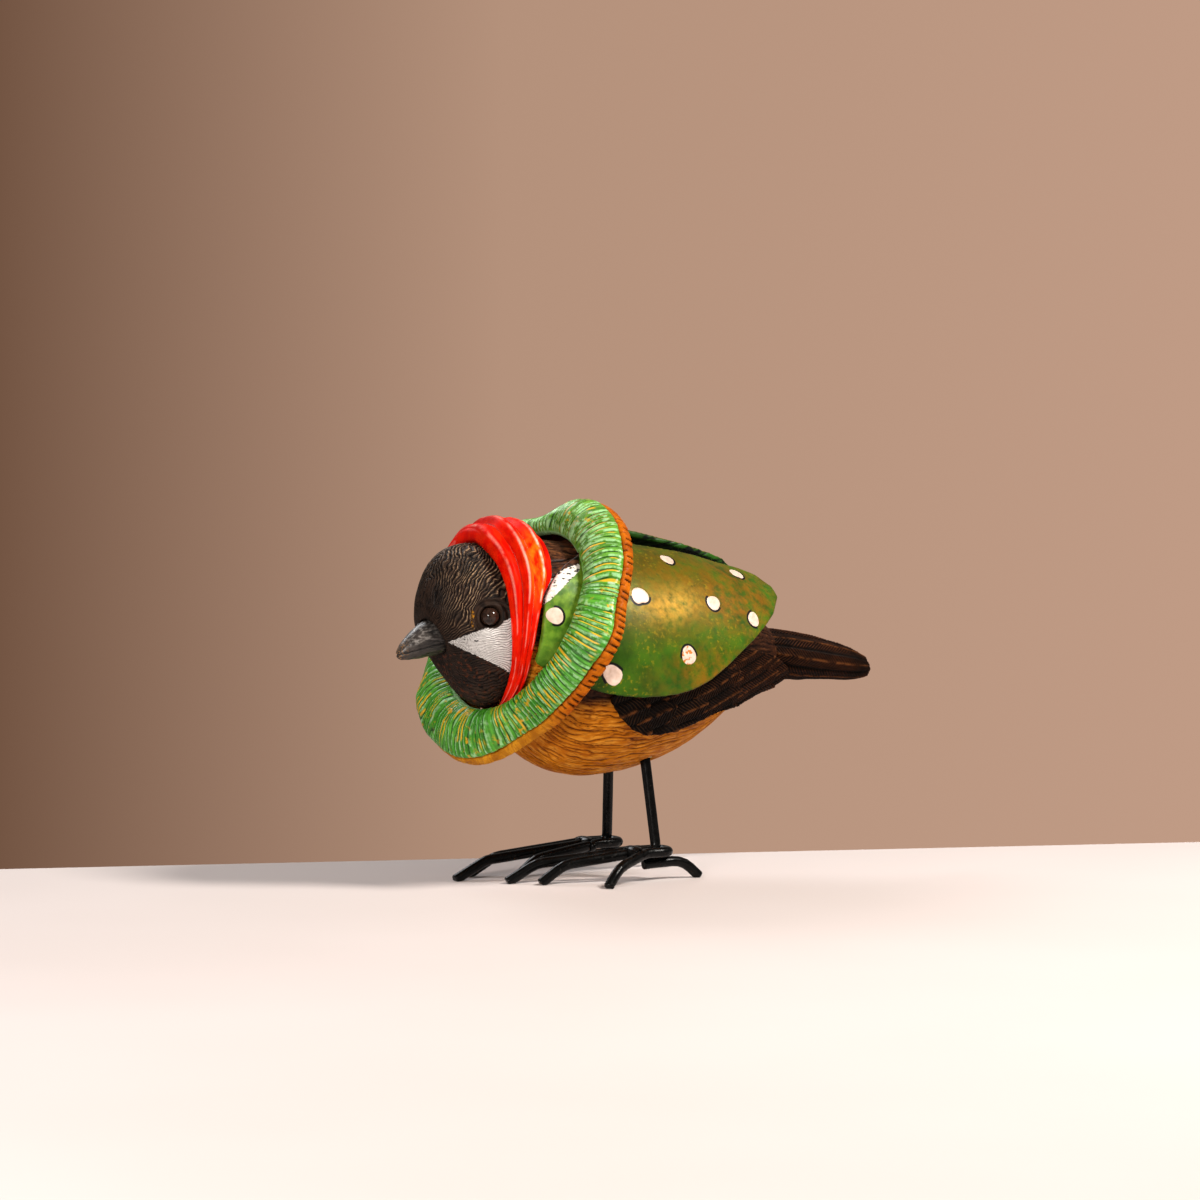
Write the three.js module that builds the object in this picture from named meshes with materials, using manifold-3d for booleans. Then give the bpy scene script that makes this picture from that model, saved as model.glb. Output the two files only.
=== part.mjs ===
// A hand-painted cast-resin chickadee in a headscarf, frilled collar and spotted cape, standing on bent-wire
// legs. Millimetres. +X runs towards the beak, +Y to the bird's left and +Z up. Sizes below are taken from a point on
// the ground between the ankles. Last of all the figurine moves so that its bounding box stands over the origin.
import * as THREE from "three";
import { mergeVertices } from "three/addons/utils/BufferGeometryUtils.js";
import Module from "manifold-3d";

const wasm = await Module();
wasm.setup();

const { degToRad, lerp, smoothstep } = THREE.MathUtils;
const degrees = (...angles) => angles.map(degToRad);
const point = (x, y, z) => new THREE.Vector3(x, y, z);

// ---- Driving dimensions ----

const SIDES = { left: 1, right: -1 };
const GLUE_GAP = 0.3; // left between two pieces that are glued together
const MERGE_DISTANCE = 1e-4;

// Torso sections from rump to neck: the lowest and highest points of each, its half width and its shift to the left.
const TORSO_SECTIONS = [
  { bottom: [-46, 55], top: [-46, 60], halfWidth: 3.5, shift: 0 },
  { bottom: [-40, 51.5], top: [-41, 66], halfWidth: 8.5, shift: 0 },
  { bottom: [-30, 46], top: [-31, 73], halfWidth: 15, shift: 0 },
  { bottom: [-18, 37.5], top: [-20, 79], halfWidth: 21, shift: 0 },
  { bottom: [-5, 30.8], top: [-9, 83.5], halfWidth: 25, shift: 0 },
  { bottom: [9, 27.8], top: [2, 87], halfWidth: 27, shift: 0 },
  { bottom: [23, 28], top: [10, 89], halfWidth: 27.5, shift: 0.5 },
  { bottom: [35, 34], top: [17.5, 90], halfWidth: 25.5, shift: 1.5 },
  { bottom: [43, 44.4], top: [25, 89.6], halfWidth: 22.5, shift: 2.5 },
  { bottom: [43.7, 45.8], top: [32, 90.3], halfWidth: 20.8, shift: 3 },
  { bottom: [44.1, 46.4], top: [38.5, 89.5], halfWidth: 19.6, shift: 3.3 },
  { bottom: [44.5, 46.8], top: [44.5, 87.6], halfWidth: 18.6, shift: 3.5 },
];
const NECK_X = 44.5; // the flat end of the neck, where the head is glued on

const HEAD_CENTRE = point(46.5, 3.5, 70.1);
const HEAD_RADIUS = 18.4;
const HEAD_YAW = degToRad(4);
const EYE_RADIUS = 2.5;
const EYE_BEARING = 63; // degrees to each side of the beak
const EYE_RISE = 3; // degrees above the middle of the head

const COLLAR_CENTRE = point(35, 2, 66);
const COLLAR_YAW = degToRad(9);
const COLLAR_PITCH = degToRad(27);
// The hole is an upright oval that sits a little high.
const COLLAR_HOLE = { radius: 24.4, rise: 1.9, stretch: 0.9 };
const COLLAR_INNER_LEAD = 3.5; // how far the inner edge stands ahead of the outer edge
const COLLAR_CROWN = 3.4; // how far the frill bulges ahead of a straight cone
// The frill's wavy edge: its radius every 20 degrees, starting at the bird's left and going over the top.
const COLLAR_EDGE_RADII = [
  36.5, 34.7, 37.7, 39.3, 39.3, 34.6, 36.3, 37.2, 36.4, 36.8, 35.2, 38.6, 37.4, 36.8, 34.6, 31.6, 32, 33,
];
const COLLAR_MEAN_RADIUS = 36.4;
const RIM_DEPTH = 4.3;

const COVER_THICKNESS = 1.6;
const WING_THICKNESS = 1.9;

const WIRE_RADIUS = 1.4;
const BEND_RADIUS = 8; // less where a short straight run leaves no room for it
const WIRE_PITCH = 3.1; // between the centres of wires that lie side by side
const PARALLEL_RUN = 5; // how far in front of the ankle the toes start to spread
const ANKLE_HEIGHT = 7.7;
const KNUCKLE_HEIGHT = 5;
const TIP_HEIGHT = 0.35; // of the wire's centre line where it is cut off
const KNUCKLE_SHARE = 0.8; // of the way from the ankle to a toe's tip
const HEEL_SHARE = 0.62; // of the way from the ankle to the hind toe's tip
const HIND_TOE_FRONT = 4; // how far the hind toe's wire reaches ahead of the ankle
const HAIRPIN_OVERHANG = 2.8; // from the ankle back to the hairpin's turn
const LEG_SOCKET_TOP = 43;

const SOCKET_RADIUS = 2.2;
const EPOXY_INNER_RADIUS = 1.6;
const EPOXY_OUTER_RADIUS = 1.95;

// ---- Geometry helpers ----

// The geometry as bare positions, with shared corners merged and its faces turned outwards.
function closed(geometry) {
  const bare = new THREE.BufferGeometry().setAttribute("position", geometry.getAttribute("position").clone());
  if (geometry.index) bare.setIndex(geometry.index.clone());
  const merged = mergeVertices(bare, MERGE_DISTANCE);
  if (signedVolume(merged) < 0) {
    const corners = merged.index.array;
    for (let i = 0; i < corners.length; i += 3) {
      [corners[i + 1], corners[i + 2]] = [corners[i + 2], corners[i + 1]];
    }
  }
  return merged;
}

function signedVolume(geometry) {
  const places = geometry.getAttribute("position");
  const corners = geometry.index.array;
  const [a, b, c] = [point(), point(), point()];
  let total = 0;
  for (let i = 0; i < corners.length; i += 3) {
    a.fromBufferAttribute(places, corners[i]);
    b.fromBufferAttribute(places, corners[i + 1]);
    c.fromBufferAttribute(places, corners[i + 2]);
    total += a.dot(b.cross(c)) / 6;
  }
  return total;
}

// Moves every corner of a geometry to the point that place gives for it.
function shaped(geometry, place) {
  const places = geometry.getAttribute("position");
  const corner = point();
  for (let i = 0; i < places.count; i += 1) {
    corner.fromBufferAttribute(places, i);
    const moved = place(corner);
    places.setXYZ(i, moved.x, moved.y, moved.z);
  }
  return closed(geometry);
}

// A closed tube. place gets how far along it is (0 to 1), the angle round it, and 1 on its wall or 0 at a cap's centre.
function tube(around, along, place) {
  const cylinder = new THREE.CylinderGeometry(1, 1, 1, around, along);
  return shaped(cylinder, (v) => place(v.y + 0.5, Math.atan2(v.z, v.x), Math.hypot(v.x, v.z)));
}

// A curved sheet. place gets how far along it, across it and through its thickness a corner is, each 0 to 1.
function sheet(along, across, place) {
  const slab = new THREE.BoxGeometry(1, 1, 1, along, across, 1);
  return shaped(slab, (v) => place(v.x + 0.5, v.y + 0.5, v.z + 0.5));
}

function solidOf(geometry) {
  const whole = closed(geometry);
  return new wasm.Manifold(
    new wasm.Mesh({
      numProp: 3,
      vertProperties: new Float32Array(whole.getAttribute("position").array),
      triVerts: new Uint32Array(whole.index.array),
    }),
  );
}

function geometryOf(solid) {
  const { vertProperties, triVerts } = solid.getMesh();
  return new THREE.BufferGeometry()
    .setAttribute("position", new THREE.BufferAttribute(vertProperties, 3))
    .setIndex(new THREE.BufferAttribute(triVerts, 1));
}

// The geometry with every tool cut out of it.
function cut(geometry, ...tools) {
  const left = tools.reduce((solid, tool) => solid.subtract(solidOf(tool)), solidOf(geometry));
  return geometryOf(left);
}

// A group at a place, turned by angles about its own X, then Y, then Z.
function groupAt(place, turn = new THREE.Euler()) {
  const group = new THREE.Group();
  group.position.copy(place);
  group.rotation.copy(turn);
  group.updateMatrix();
  return group;
}

// A geometry built in a group's frame, moved to where that group puts it; and the other way round.
const outOf = (group, geometry) => geometry.applyMatrix4(group.matrix);
const into = (group, geometry) => geometry.applyMatrix4(group.matrix.clone().invert());

// A straight round bar from one point to another.
function bar(from, to, radius, sides = 16) {
  const along = to.clone().sub(from);
  const upright = new THREE.Quaternion().setFromUnitVectors(point(0, 1, 0), along.clone().normalize());
  const rod = new THREE.CylinderGeometry(radius, radius, along.length(), sides);
  rod.applyQuaternion(upright);
  return rod.translate(...from.clone().add(to).multiplyScalar(0.5).toArray());
}

// A box that holds everything between two corners.
function block(low, high) {
  const size = high.clone().sub(low);
  const centre = low.clone().add(high).multiplyScalar(0.5);
  return new THREE.BoxGeometry(size.x, size.y, size.z).translate(centre.x, centre.y, centre.z);
}

// Smooth values between the rows of a table whose first column rises: reads [a, b, ...] at a first-column value.
function smoothTable(rows) {
  const width = rows[0].length - 1;
  const at = rows.map(([first]) => first);
  const values = rows.flatMap(([, ...rest]) => rest);
  const spline = new THREE.CubicInterpolant(at, values, width);
  return (x) => Array.from(spline.evaluate(x));
}

// ---- Torso ----

const lineThrough = (points) => new THREE.CatmullRomCurve3(points, false, "catmullrom");
const keel = lineThrough(TORSO_SECTIONS.map(({ bottom: [x, z], shift }) => point(x, shift, z)));
const back = lineThrough(TORSO_SECTIONS.map(({ top: [x, z], shift }) => point(x, shift, z)));
const girth = lineThrough(TORSO_SECTIONS.map(({ halfWidth }, i) => point(i, halfWidth, 0)));

// A point on the torso: t runs from rump (0) to neck (1), angle from the bird's left (0) over its back, and grow
// stands the point off the surface. Reach 0 is the middle of the section.
function torsoPoint(t, angle, grow = 0, reach = 1) {
  const low = keel.getPoint(t);
  const high = back.getPoint(t);
  const middle = low.clone().add(high).multiplyScalar(0.5);
  const up = high.sub(low).multiplyScalar(0.5);
  const rise = (up.length() + grow) * reach * Math.sin(angle);
  const side = (girth.getPoint(t).y + grow) * reach * Math.cos(angle);
  return middle.addScaledVector(up.normalize(), rise).add(point(0, side, 0));
}

const torsoShape = (grow = 0) => tube(32, 22, (t, angle, reach) => torsoPoint(t, angle, grow, reach));

// ---- Head, beak and eyes, in the head's own frame ----

const head = groupAt(HEAD_CENTRE, new THREE.Euler(0, 0, HEAD_YAW));

// A rounded bump on the unit sphere, 1 on its axis and fading with the angle from it.
const bump = (direction, axis, width) => Math.exp((direction.dot(axis) - 1) / width);

const THROAT = point(-0.1, 0, -1).normalize();
const CHIN = point(0.75, 0, -0.66).normalize();
const CROWN = point(0.6, 0, 0.8).normalize();
const FLATTER_SIDES = 0.035; // how much narrower than tall the skull is

// The skull is a ball drawn down into the throat, hollowed a little below the beak and raised at the crown.
function headPoint(direction, grow = 0) {
  const throat = 5.6 * bump(direction, THROAT, 0.16);
  const chin = -2.4 * bump(direction, CHIN, 0.1);
  const crown = 2.8 * bump(direction, CROWN, 0.13);
  const flank = 1 - FLATTER_SIDES * direction.y * direction.y;
  return direction.clone().multiplyScalar((HEAD_RADIUS + throat + chin + crown) * flank + grow);
}

const headShape = (grow = 0) => {
  const ball = new THREE.SphereGeometry(1, 32, 20).rotateX(Math.PI / 2);
  return shaped(ball, (v) => headPoint(v.clone().normalize(), grow));
};

// The beak is an oval cone from its root inside the head to a blunt tip that droops to the level of its lower edge.
const BEAK_SECTIONS = smoothTable([
  // share of its length: forward, height, half height, half width
  [0, 13, -4.1, 4.9, 5.5],
  [0.25, 16.4, -4.7, 4.9, 4.9],
  [0.55, 20.4, -6.1, 4.1, 3.8],
  [0.85, 24.2, -7.9, 2.5, 2.3],
  [0.95, 25.5, -8.6, 1.8, 1.6],
  [1, 26.2, -9, 0.8, 0.8],
]);

const beakShape = (grow = 0) =>
  tube(18, 10, (t, angle, reach) => {
    const [forward, height, halfHeight, halfWidth] = BEAK_SECTIONS(t);
    const rise = (halfHeight + grow) * reach * Math.sin(angle);
    const side = (halfWidth + grow) * reach * Math.cos(angle);
    return point(forward, side, height + rise);
  });

// side is 1 for the left eye and -1 for the right.
function eyeCentre(side) {
  const [bearing, rise] = degrees(EYE_BEARING, EYE_RISE);
  const direction = point(Math.cos(bearing), side * Math.sin(bearing), Math.sin(rise)).normalize();
  return direction.multiplyScalar(headPoint(direction).length() - EYE_RADIUS * 0.5);
}

const eyeShape = (side, grow = 0) =>
  new THREE.SphereGeometry(EYE_RADIUS + grow, 14, 10).translate(...eyeCentre(side).toArray());

// ---- Headscarf, in its own frame ----

// The scarf is a loop round the joint between head and neck, wide and thick over the crown and narrow under the chin.
const scarf = groupAt(point(43.6, 3.4, 70.4));
const SCARF_HALF_WIDTH = { crown: 8.7, side: 5.6, chin: 2.2 };
const SCARF_OUTER = { crown: 25.3, side: 22.4, chin: 24.8, chinStart: 0.45 };
const SCARF_LEAN = { crown: -1.1, side: 0, chin: 0.6 }; // how far forward the band's centre line runs
const SCARF_DEPTH = 4.5; // from its outer face to its centre line

// Blends the crown, side and chin values round the loop. Angle 0 is the bird's left and a quarter turn is the crown.
// chinStart is how far down from the side (0) to the chin (1) the chin's value starts to come in.
function roundScarf({ crown, side, chin, chinStart = 0 }, angle) {
  const height = Math.sin(angle);
  if (height > 0) return lerp(side, crown, smoothstep(height, 0, 1));
  return lerp(side, chin, smoothstep(-height, chinStart, 1));
}

const scarfShape = (grow = 0) => {
  const loop = new THREE.TorusGeometry(2, 1, 10, 48);
  return shaped(loop, (v) => {
    const angle = Math.atan2(v.y, v.x);
    const across = v.z;
    const outwards = Math.hypot(v.x, v.y) - 2;
    const reach = roundScarf(SCARF_OUTER, angle) - SCARF_DEPTH + (SCARF_DEPTH + grow) * outwards;
    const forward = roundScarf(SCARF_LEAN, angle) + (roundScarf(SCARF_HALF_WIDTH, angle) + grow) * across;
    return point(forward, Math.cos(angle) * reach, Math.sin(angle) * reach);
  });
};

// ---- Collar, in its own frame, where +X is its axis ----

const collar = groupAt(COLLAR_CENTRE, new THREE.Euler(0, -COLLAR_PITCH, COLLAR_YAW, "ZYX"));

// A point by its angle round the collar (0 at the bird's left, a quarter turn at the top), its radius, and its
// distance ahead of the plane of the collar's outer edge.
const collarPoint = (angle, radius, ahead) => point(ahead, radius * Math.cos(angle), radius * Math.sin(angle));

const frillEdge = new THREE.CatmullRomCurve3(
  COLLAR_EDGE_RADII.map((radius, i) => {
    const angle = (2 * Math.PI * i) / COLLAR_EDGE_RADII.length;
    return point(radius * Math.cos(angle), radius * Math.sin(angle), 0);
  }),
  true,
  "catmullrom",
);

// How far the frill's edge stands out from its mean radius.
function edgeWave(angle) {
  const share = (angle / (2 * Math.PI) + 1) % 1;
  return frillEdge.getPoint(share).length() - COLLAR_MEAN_RADIUS;
}

// The hole's radius: longer up and down than sideways, and raised.
const holeRadius = (angle) =>
  COLLAR_HOLE.radius + COLLAR_HOLE.rise * Math.sin(angle) - COLLAR_HOLE.stretch * Math.cos(2 * angle);

const RING_ROOM = 10; // keeps the turned outline clear of its axis before it is shaped

// Turns a closed outline of [share across the collar from outer to inner edge, distance ahead] round the axis.
function collarRing(outline, around) {
  const profile = [...outline, outline[0]].map(([across, ahead]) => new THREE.Vector2(RING_ROOM - across, ahead));
  return shaped(new THREE.LatheGeometry(profile, around), (v) => {
    const angle = Math.atan2(v.x, v.z);
    const across = RING_ROOM - Math.hypot(v.x, v.z);
    const wave = edgeWave(angle) * (1 - smoothstep(across, 0, 1));
    const radius = lerp(COLLAR_MEAN_RADIUS, holeRadius(angle), across) + wave;
    return collarPoint(angle, radius, v.y + 0.3 * wave);
  });
}

const coneAhead = (across) => COLLAR_INNER_LEAD * across;
const frillFront = (across) => coneAhead(across) + COLLAR_CROWN * Math.sin(Math.PI * across) ** 0.8;
const frillBack = (across) => lerp(-0.9, 1.4, across);

const ruffShape = () => {
  const steps = 6;
  const shares = Array.from({ length: steps + 1 }, (_, i) => (1 - Math.cos((Math.PI * i) / steps)) / 2);
  const front = shares.map((s) => [s, frillFront(s)]);
  const rear = shares.filter((s, i) => i % 2 === 0).reverse().map((s) => [s, frillBack(s)]);
  return collarRing([...front, ...rear], 60);
};

// Behind the frill, a rim of body colour narrows back to the shoulders, and reaches further down the breast.
const backingShape = () => {
  const front = [0.85, 0.55, 0.25, -0.03].map((s) => [s, frillBack(s) - GLUE_GAP]);
  const rim = frillBack(0) - RIM_DEPTH;
  const rear = [[-0.03, rim], [0.2, rim - 2.2], [0.5, rim - 4], [0.85, rim - 5]];
  return collarRing([...front, ...rear].reverse(), 60);
};

// ---- Cape covers and wings: sheets that follow the torso ----

// Rows run from rump to neck: torso position, lower and upper edge in degrees, stand-off at those two edges.
const LEFT_COVER_ROWS = [
  [0.14, 46, 57, 8.6, 8.8],
  [0.16, 35, 62, 8, 8.6],
  [0.19, 25, 66, 7.3, 7.6],
  [0.24, 14, 68, 6.4, 5.9],
  [0.29, 6, 70, 5.4, 4.5],
  [0.36, -5, 70, 4.2, 3.2],
  [0.42, -11, 70, 3.5, 2.2],
  [0.49, -13, 70, 3.2, 1.2],
  [0.57, -15, 70, 2.8, 0.8],
  [0.65, -19, 66, 1.6, 0.7],
  [0.73, -22, 52, 0.6, 0.6],
  [0.82, -25, 36, 0.6, 0.6],
  [0.9, -22, 18, 0.6, 0.6],
];
const COVER_SPAN = [0.14, 0.9];

// The right cover is glued higher on the back, and its upper edge lifts further towards the rump.
const RIGHT_COVER_ROWS = LEFT_COVER_ROWS.map(([t, low, high, offLow, offHigh]) => {
  const onBack = 1 - smoothstep(t, 0.5, 0.75);
  return [t, low, high + 13 * onBack, offLow, offHigh + 2.4 * onBack];
});
const COVER_ROWS = { left: smoothTable(LEFT_COVER_ROWS), right: smoothTable(RIGHT_COVER_ROWS) };

const WING_ROWS = smoothTable([
  [0.04, -40, -28, 3.6, 3.6],
  [0.09, -46, -14, 3, 3.2],
  [0.2, -42, 2, 1.8, 1.8],
  [0.31, -31, 8, 0.9, 0.9],
  [0.37, -32, 6, 0.6, 0.6],
  [0.43, -35, 2, 0.4, 0.5],
  [0.49, -33, -3, 0.4, 0.4],
  [0.54, -26, -9, 0.4, 0.4],
  [0.575, -20, -14, 0.4, 0.4],
]);
const WING_SPAN = [0.04, 0.575];

// A sheet on the torso between two rows. side is 1 on the left and -1 on the right.
function torsoSheet(rows, [rear, front], thickness, side, along, across) {
  return sheet(along, across, (u, v, w) => {
    const t = lerp(rear, front, u);
    const [low, high, offLow, offHigh] = rows(t);
    const angle = degToRad(lerp(low, high, v));
    const standOff = lerp(offLow, offHigh, v) + w * thickness;
    return mirrored(torsoPoint(t, angle, standOff), t, side);
  });
}

// The same place on the bird's other side, keeping the neck's shift to the left.
function mirrored(place, t, side) {
  const shift = keel.getPoint(t).y;
  return point(place.x, shift + side * (place.y - shift), place.z);
}

const coverShape = (name) => torsoSheet(COVER_ROWS[name], COVER_SPAN, COVER_THICKNESS, SIDES[name], 20, 8);
const wingShape = (name) => torsoSheet(WING_ROWS, WING_SPAN, WING_THICKNESS, SIDES[name], 16, 6);

// The room a cover takes up on the neck, from inside the torso to just above its outer face.
const coverPassage = (name) =>
  sheet(16, 8, (u, v, w) => {
    const t = lerp(0.5, 0.93, u);
    const [low, high, offLow, offHigh] = COVER_ROWS[name](Math.min(t, 0.9));
    const angle = degToRad(lerp(low - 1, high + 1, v));
    const outer = lerp(offLow, offHigh, v) + COVER_THICKNESS + GLUE_GAP;
    return mirrored(torsoPoint(t, angle, lerp(-2, outer, w)), t, SIDES[name]);
  });
const coverPassages = () => Object.keys(SIDES).map(coverPassage);

// ---- Tail ----

const TAIL_SECTIONS = smoothTable([
  // share of its length: x, z, half height, half width
  [0, -37.5, 59.3, 6, 6],
  [0.2, -45, 58, 6.9, 7.4],
  [0.6, -61, 56, 5.6, 7.4],
  [0.85, -70.8, 54.2, 4.2, 5.6],
  [0.96, -74.8, 53.3, 2.4, 3.2],
  [1, -76, 53, 0.9, 1.2],
]);

const tailShape = (grow = 0) =>
  tube(20, 14, (t, angle, reach) => {
    const [x, z, halfHeight, halfWidth] = TAIL_SECTIONS(t);
    const rise = (halfHeight + grow) * reach * Math.sin(angle);
    const side = (halfWidth + grow) * reach * Math.cos(angle);
    return point(t < 0.01 ? x + grow : x, side, z + rise);
  });

// ---- Wire legs and feet, each foot in a frame on the ground under its ankle ----

// A line of straight runs whose corners are rounded, sampled only where it bends.
class BentPath extends THREE.Curve {
  constructor(corners, bendRadius) {
    super();
    this.stations = [corners[0]];
    for (let i = 1; i < corners.length - 1; i += 1) {
      this.stations.push(...BentPath.bend(corners[i - 1], corners[i], corners[i + 1], bendRadius));
    }
    this.stations.push(corners.at(-1));
  }

  static bend(before, corner, after, bendRadius) {
    const inwards = before.clone().sub(corner);
    const onwards = after.clone().sub(corner);
    const turn = Math.PI - inwards.angleTo(onwards);
    const wanted = bendRadius * Math.tan(turn / 2);
    const reach = Math.min(wanted, inwards.length() * 0.49, onwards.length() * 0.49);
    const start = corner.clone().addScaledVector(inwards.normalize(), reach);
    const end = corner.clone().addScaledVector(onwards.normalize(), reach);
    const steps = Math.max(2, Math.ceil(turn / degToRad(18)));
    return new THREE.QuadraticBezierCurve3(start, corner, end).getPoints(steps);
  }

  get steps() {
    return this.stations.length - 1;
  }

  getPointAt(u) {
    return this.stations[Math.round(u * this.steps)].clone();
  }

  getTangentAt(u) {
    const i = Math.round(u * this.steps);
    const before = this.stations[Math.max(i - 1, 0)];
    const after = this.stations[Math.min(i + 1, this.steps)];
    return after.clone().sub(before).normalize();
  }
}

const GROUND_TOOL = block(point(-60, -60, -10), point(80, 60, 0));

// Round wire along a bent line. Whatever would reach below the ground is cut off flat.
function wire(corners, { radius = WIRE_RADIUS, sides = 6 } = {}) {
  const path = new BentPath(corners, BEND_RADIUS);
  const section = new THREE.Shape().absarc(0, 0, radius, 0, 2 * Math.PI);
  const swept = new THREE.ExtrudeGeometry(section, {
    steps: path.steps,
    extrudePath: path,
    curveSegments: sides,
  });
  return cut(swept, GROUND_TOOL);
}

// Each foot: the place of its ankle, and from there the hip's place and each toe tip's place on the ground.
const FEET = {
  left: {
    ankle: [0, 12.6],
    hip: [1.2, -3.4],
    toes: { middle: [31.6, -6], outer: [20.2, 9.6], inner: [37.8, -12.8], hind: [-13, 0.2] },
  },
  right: {
    ankle: [0, -13.4],
    hip: [1.8, 4],
    toes: { middle: [47.2, 1.8], outer: [40.2, -4.8], inner: [31.6, 6.6], hind: [-19.4, -0.4] },
  },
};
const HIP_HEIGHT = 30; // where the leg's straight run is aimed, near the belly

const onGround = ([x, y]) => point(x, y, TIP_HEIGHT);
const partWay = ([x, y], share, z) => point(x * share, y * share, z);

// The straight upper part of a leg, carried on up into its socket.
function legTop({ hip: [x, y] }, height) {
  const share = (height - ANKLE_HEIGHT) / (HIP_HEIGHT - ANKLE_HEIGHT);
  return point(x * share, y * share, height);
}

// A toe's wire from its tip back to the ankle. offset is its place beside the middle toe.
function toeLine([x, y], offset) {
  const knuckle = partWay([x, y - offset], KNUCKLE_SHARE, KNUCKLE_HEIGHT).add(point(0, offset, 0));
  return [onGround([x, y]), knuckle, point(PARALLEL_RUN, offset, ANKLE_HEIGHT)];
}

// The leg and the middle toe are one wire.
const legWire = (foot, options) =>
  wire([...toeLine(foot.toes.middle, 0), point(0, 0, ANKLE_HEIGHT), legTop(foot, LEG_SOCKET_TOP)], options);

// The outer and inner toes are one hairpin that turns behind the ankle. It lies either side of the middle toe.
function toeHairpin({ ankle, toes }, options) {
  const outwards = Math.sign(ankle[1]) * WIRE_PITCH;
  const arm = (tip, offset) => [...toeLine(tip, offset), point(-HAIRPIN_OVERHANG, offset, ANKLE_HEIGHT)];
  return wire([...arm(toes.outer, outwards), ...arm(toes.inner, -outwards).reverse()], options);
}

// The hind toe is a short wire under the others.
function hindToe({ toes }, options) {
  const height = ANKLE_HEIGHT - WIRE_PITCH;
  const front = point(HIND_TOE_FRONT, 0, height - 0.2);
  const heel = partWay(toes.hind, HEEL_SHARE, height + 0.2);
  return wire([front, point(0, 0, height), heel, onGround(toes.hind)], options);
}

const wiresOf = (foot, options) => [legWire(foot, options), toeHairpin(foot, options), hindToe(foot, options)];

// A bead of weld wraps the three toe wires just in front of the ankle.
function weldBead(foot) {
  const bead = new THREE.SphereGeometry(1, 16, 10).scale(2.3, 5.9, 2.3);
  bead.translate(PARALLEL_RUN + 2, 0, ANKLE_HEIGHT - 0.4);
  return cut(bead, ...wiresOf(foot, { radius: WIRE_RADIUS + 0.15, sides: 7 }));
}

// The glue round a leg inside its socket.
function epoxySleeve(foot) {
  const low = legTop(foot, 32);
  const high = legTop(foot, LEG_SOCKET_TOP);
  return cut(bar(low, high, EPOXY_OUTER_RADIUS), bar(legTop(foot, 30), legTop(foot, 46), EPOXY_INNER_RADIUS));
}

const legSocket = (foot) => bar(legTop(foot, 20), legTop(foot, LEG_SOCKET_TOP + 0.5), SOCKET_RADIUS, 20);

// ---- Pins hidden inside ----

const NECK_DOWEL = { from: point(35, 3.4, 68), to: point(54, 3.4, 68), radius: 2 };
const TAIL_PIN = { from: point(-27, 0, 60.2), to: point(-57, 0, 56.6), radius: 0.9 };

const pinShape = ({ from, to, radius }, grow = 0) => {
  const beyond = to.clone().sub(from).setLength(grow);
  return bar(from.clone().sub(beyond), to.clone().add(beyond), radius + grow, 14);
};

// ---- Materials ----

const paint = (color, roughness, metalness = 0) => new THREE.MeshStandardMaterial({ color, roughness, metalness });
const BREAST_OCHRE = paint(0xb06a1e, 0.55);
const CAP_BLACK = paint(0x2a211c, 0.55);
const BEAK_BLACK = paint(0x1c1b1c, 0.3);
const FEATHER_BROWN = paint(0x3a231a, 0.6);
const CAPE_GREEN = paint(0x5f8a1f, 0.35);
const FRILL_GREEN = paint(0x4fae4a, 0.4);
const SCARF_RED = paint(0xd8240f, 0.35);
const EYE_GLOSS = paint(0x0b0908, 0.08);
const BLACK_ENAMEL = paint(0x0c0b0b, 0.25, 0.3);
const BARE_STEEL = paint(0x9a9a98, 0.35, 0.9);
const CLEAR_EPOXY = paint(0x8a7350, 0.3);

// ---- The figurine ----

const figurine = new THREE.Group();
figurine.add(head, scarf, collar);

function addPiece(parent, name, geometry, material) {
  geometry.computeVertexNormals();
  const mesh = new THREE.Mesh(geometry, material);
  mesh.name = name;
  parent.add(mesh);
}

const feet = Object.entries(FEET).map(([name, foot]) => {
  const group = groupAt(point(...foot.ankle, 0));
  figurine.add(group);
  return { name, foot, group };
});

const torsoCuts = [
  ...feet.map(({ foot, group }) => outOf(group, legSocket(foot))),
  pinShape(NECK_DOWEL, GLUE_GAP),
  pinShape(TAIL_PIN, GLUE_GAP),
  tailShape(GLUE_GAP),
];
addPiece(figurine, "torso_casting", cut(torsoShape(), ...torsoCuts), BREAST_OCHRE);
addPiece(figurine, "neck_dowel", pinShape(NECK_DOWEL), BARE_STEEL);
addPiece(figurine, "tail", cut(tailShape(), pinShape(TAIL_PIN, GLUE_GAP)), FEATHER_BROWN);
addPiece(figurine, "tail_pin", pinShape(TAIL_PIN), BARE_STEEL);

const headCuts = [
  into(head, block(point(-20, -60, 20), point(NECK_X + GLUE_GAP, 60, 120))),
  into(head, pinShape(NECK_DOWEL, GLUE_GAP)),
  beakShape(GLUE_GAP),
  ...Object.values(SIDES).map((side) => eyeShape(side, GLUE_GAP)),
];
addPiece(head, "head_casting", cut(headShape(), ...headCuts), CAP_BLACK);
addPiece(head, "beak", beakShape(), BEAK_BLACK);

// Everything that lies against the neck, so that a piece round it can be cut to fit.
const neckTools = () => [torsoShape(GLUE_GAP), outOf(head, headShape(GLUE_GAP)), ...coverPassages()];
const fitted = (group, geometry, ...more) =>
  cut(geometry, ...[...neckTools(), ...more].map((tool) => into(group, tool)));
addPiece(scarf, "headscarf", fitted(scarf, scarfShape()), SCARF_RED);
addPiece(collar, "collar_ruff", fitted(collar, ruffShape(), outOf(scarf, scarfShape(GLUE_GAP))), FRILL_GREEN);
addPiece(collar, "collar_backing", fitted(collar, backingShape()), BREAST_OCHRE);

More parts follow.
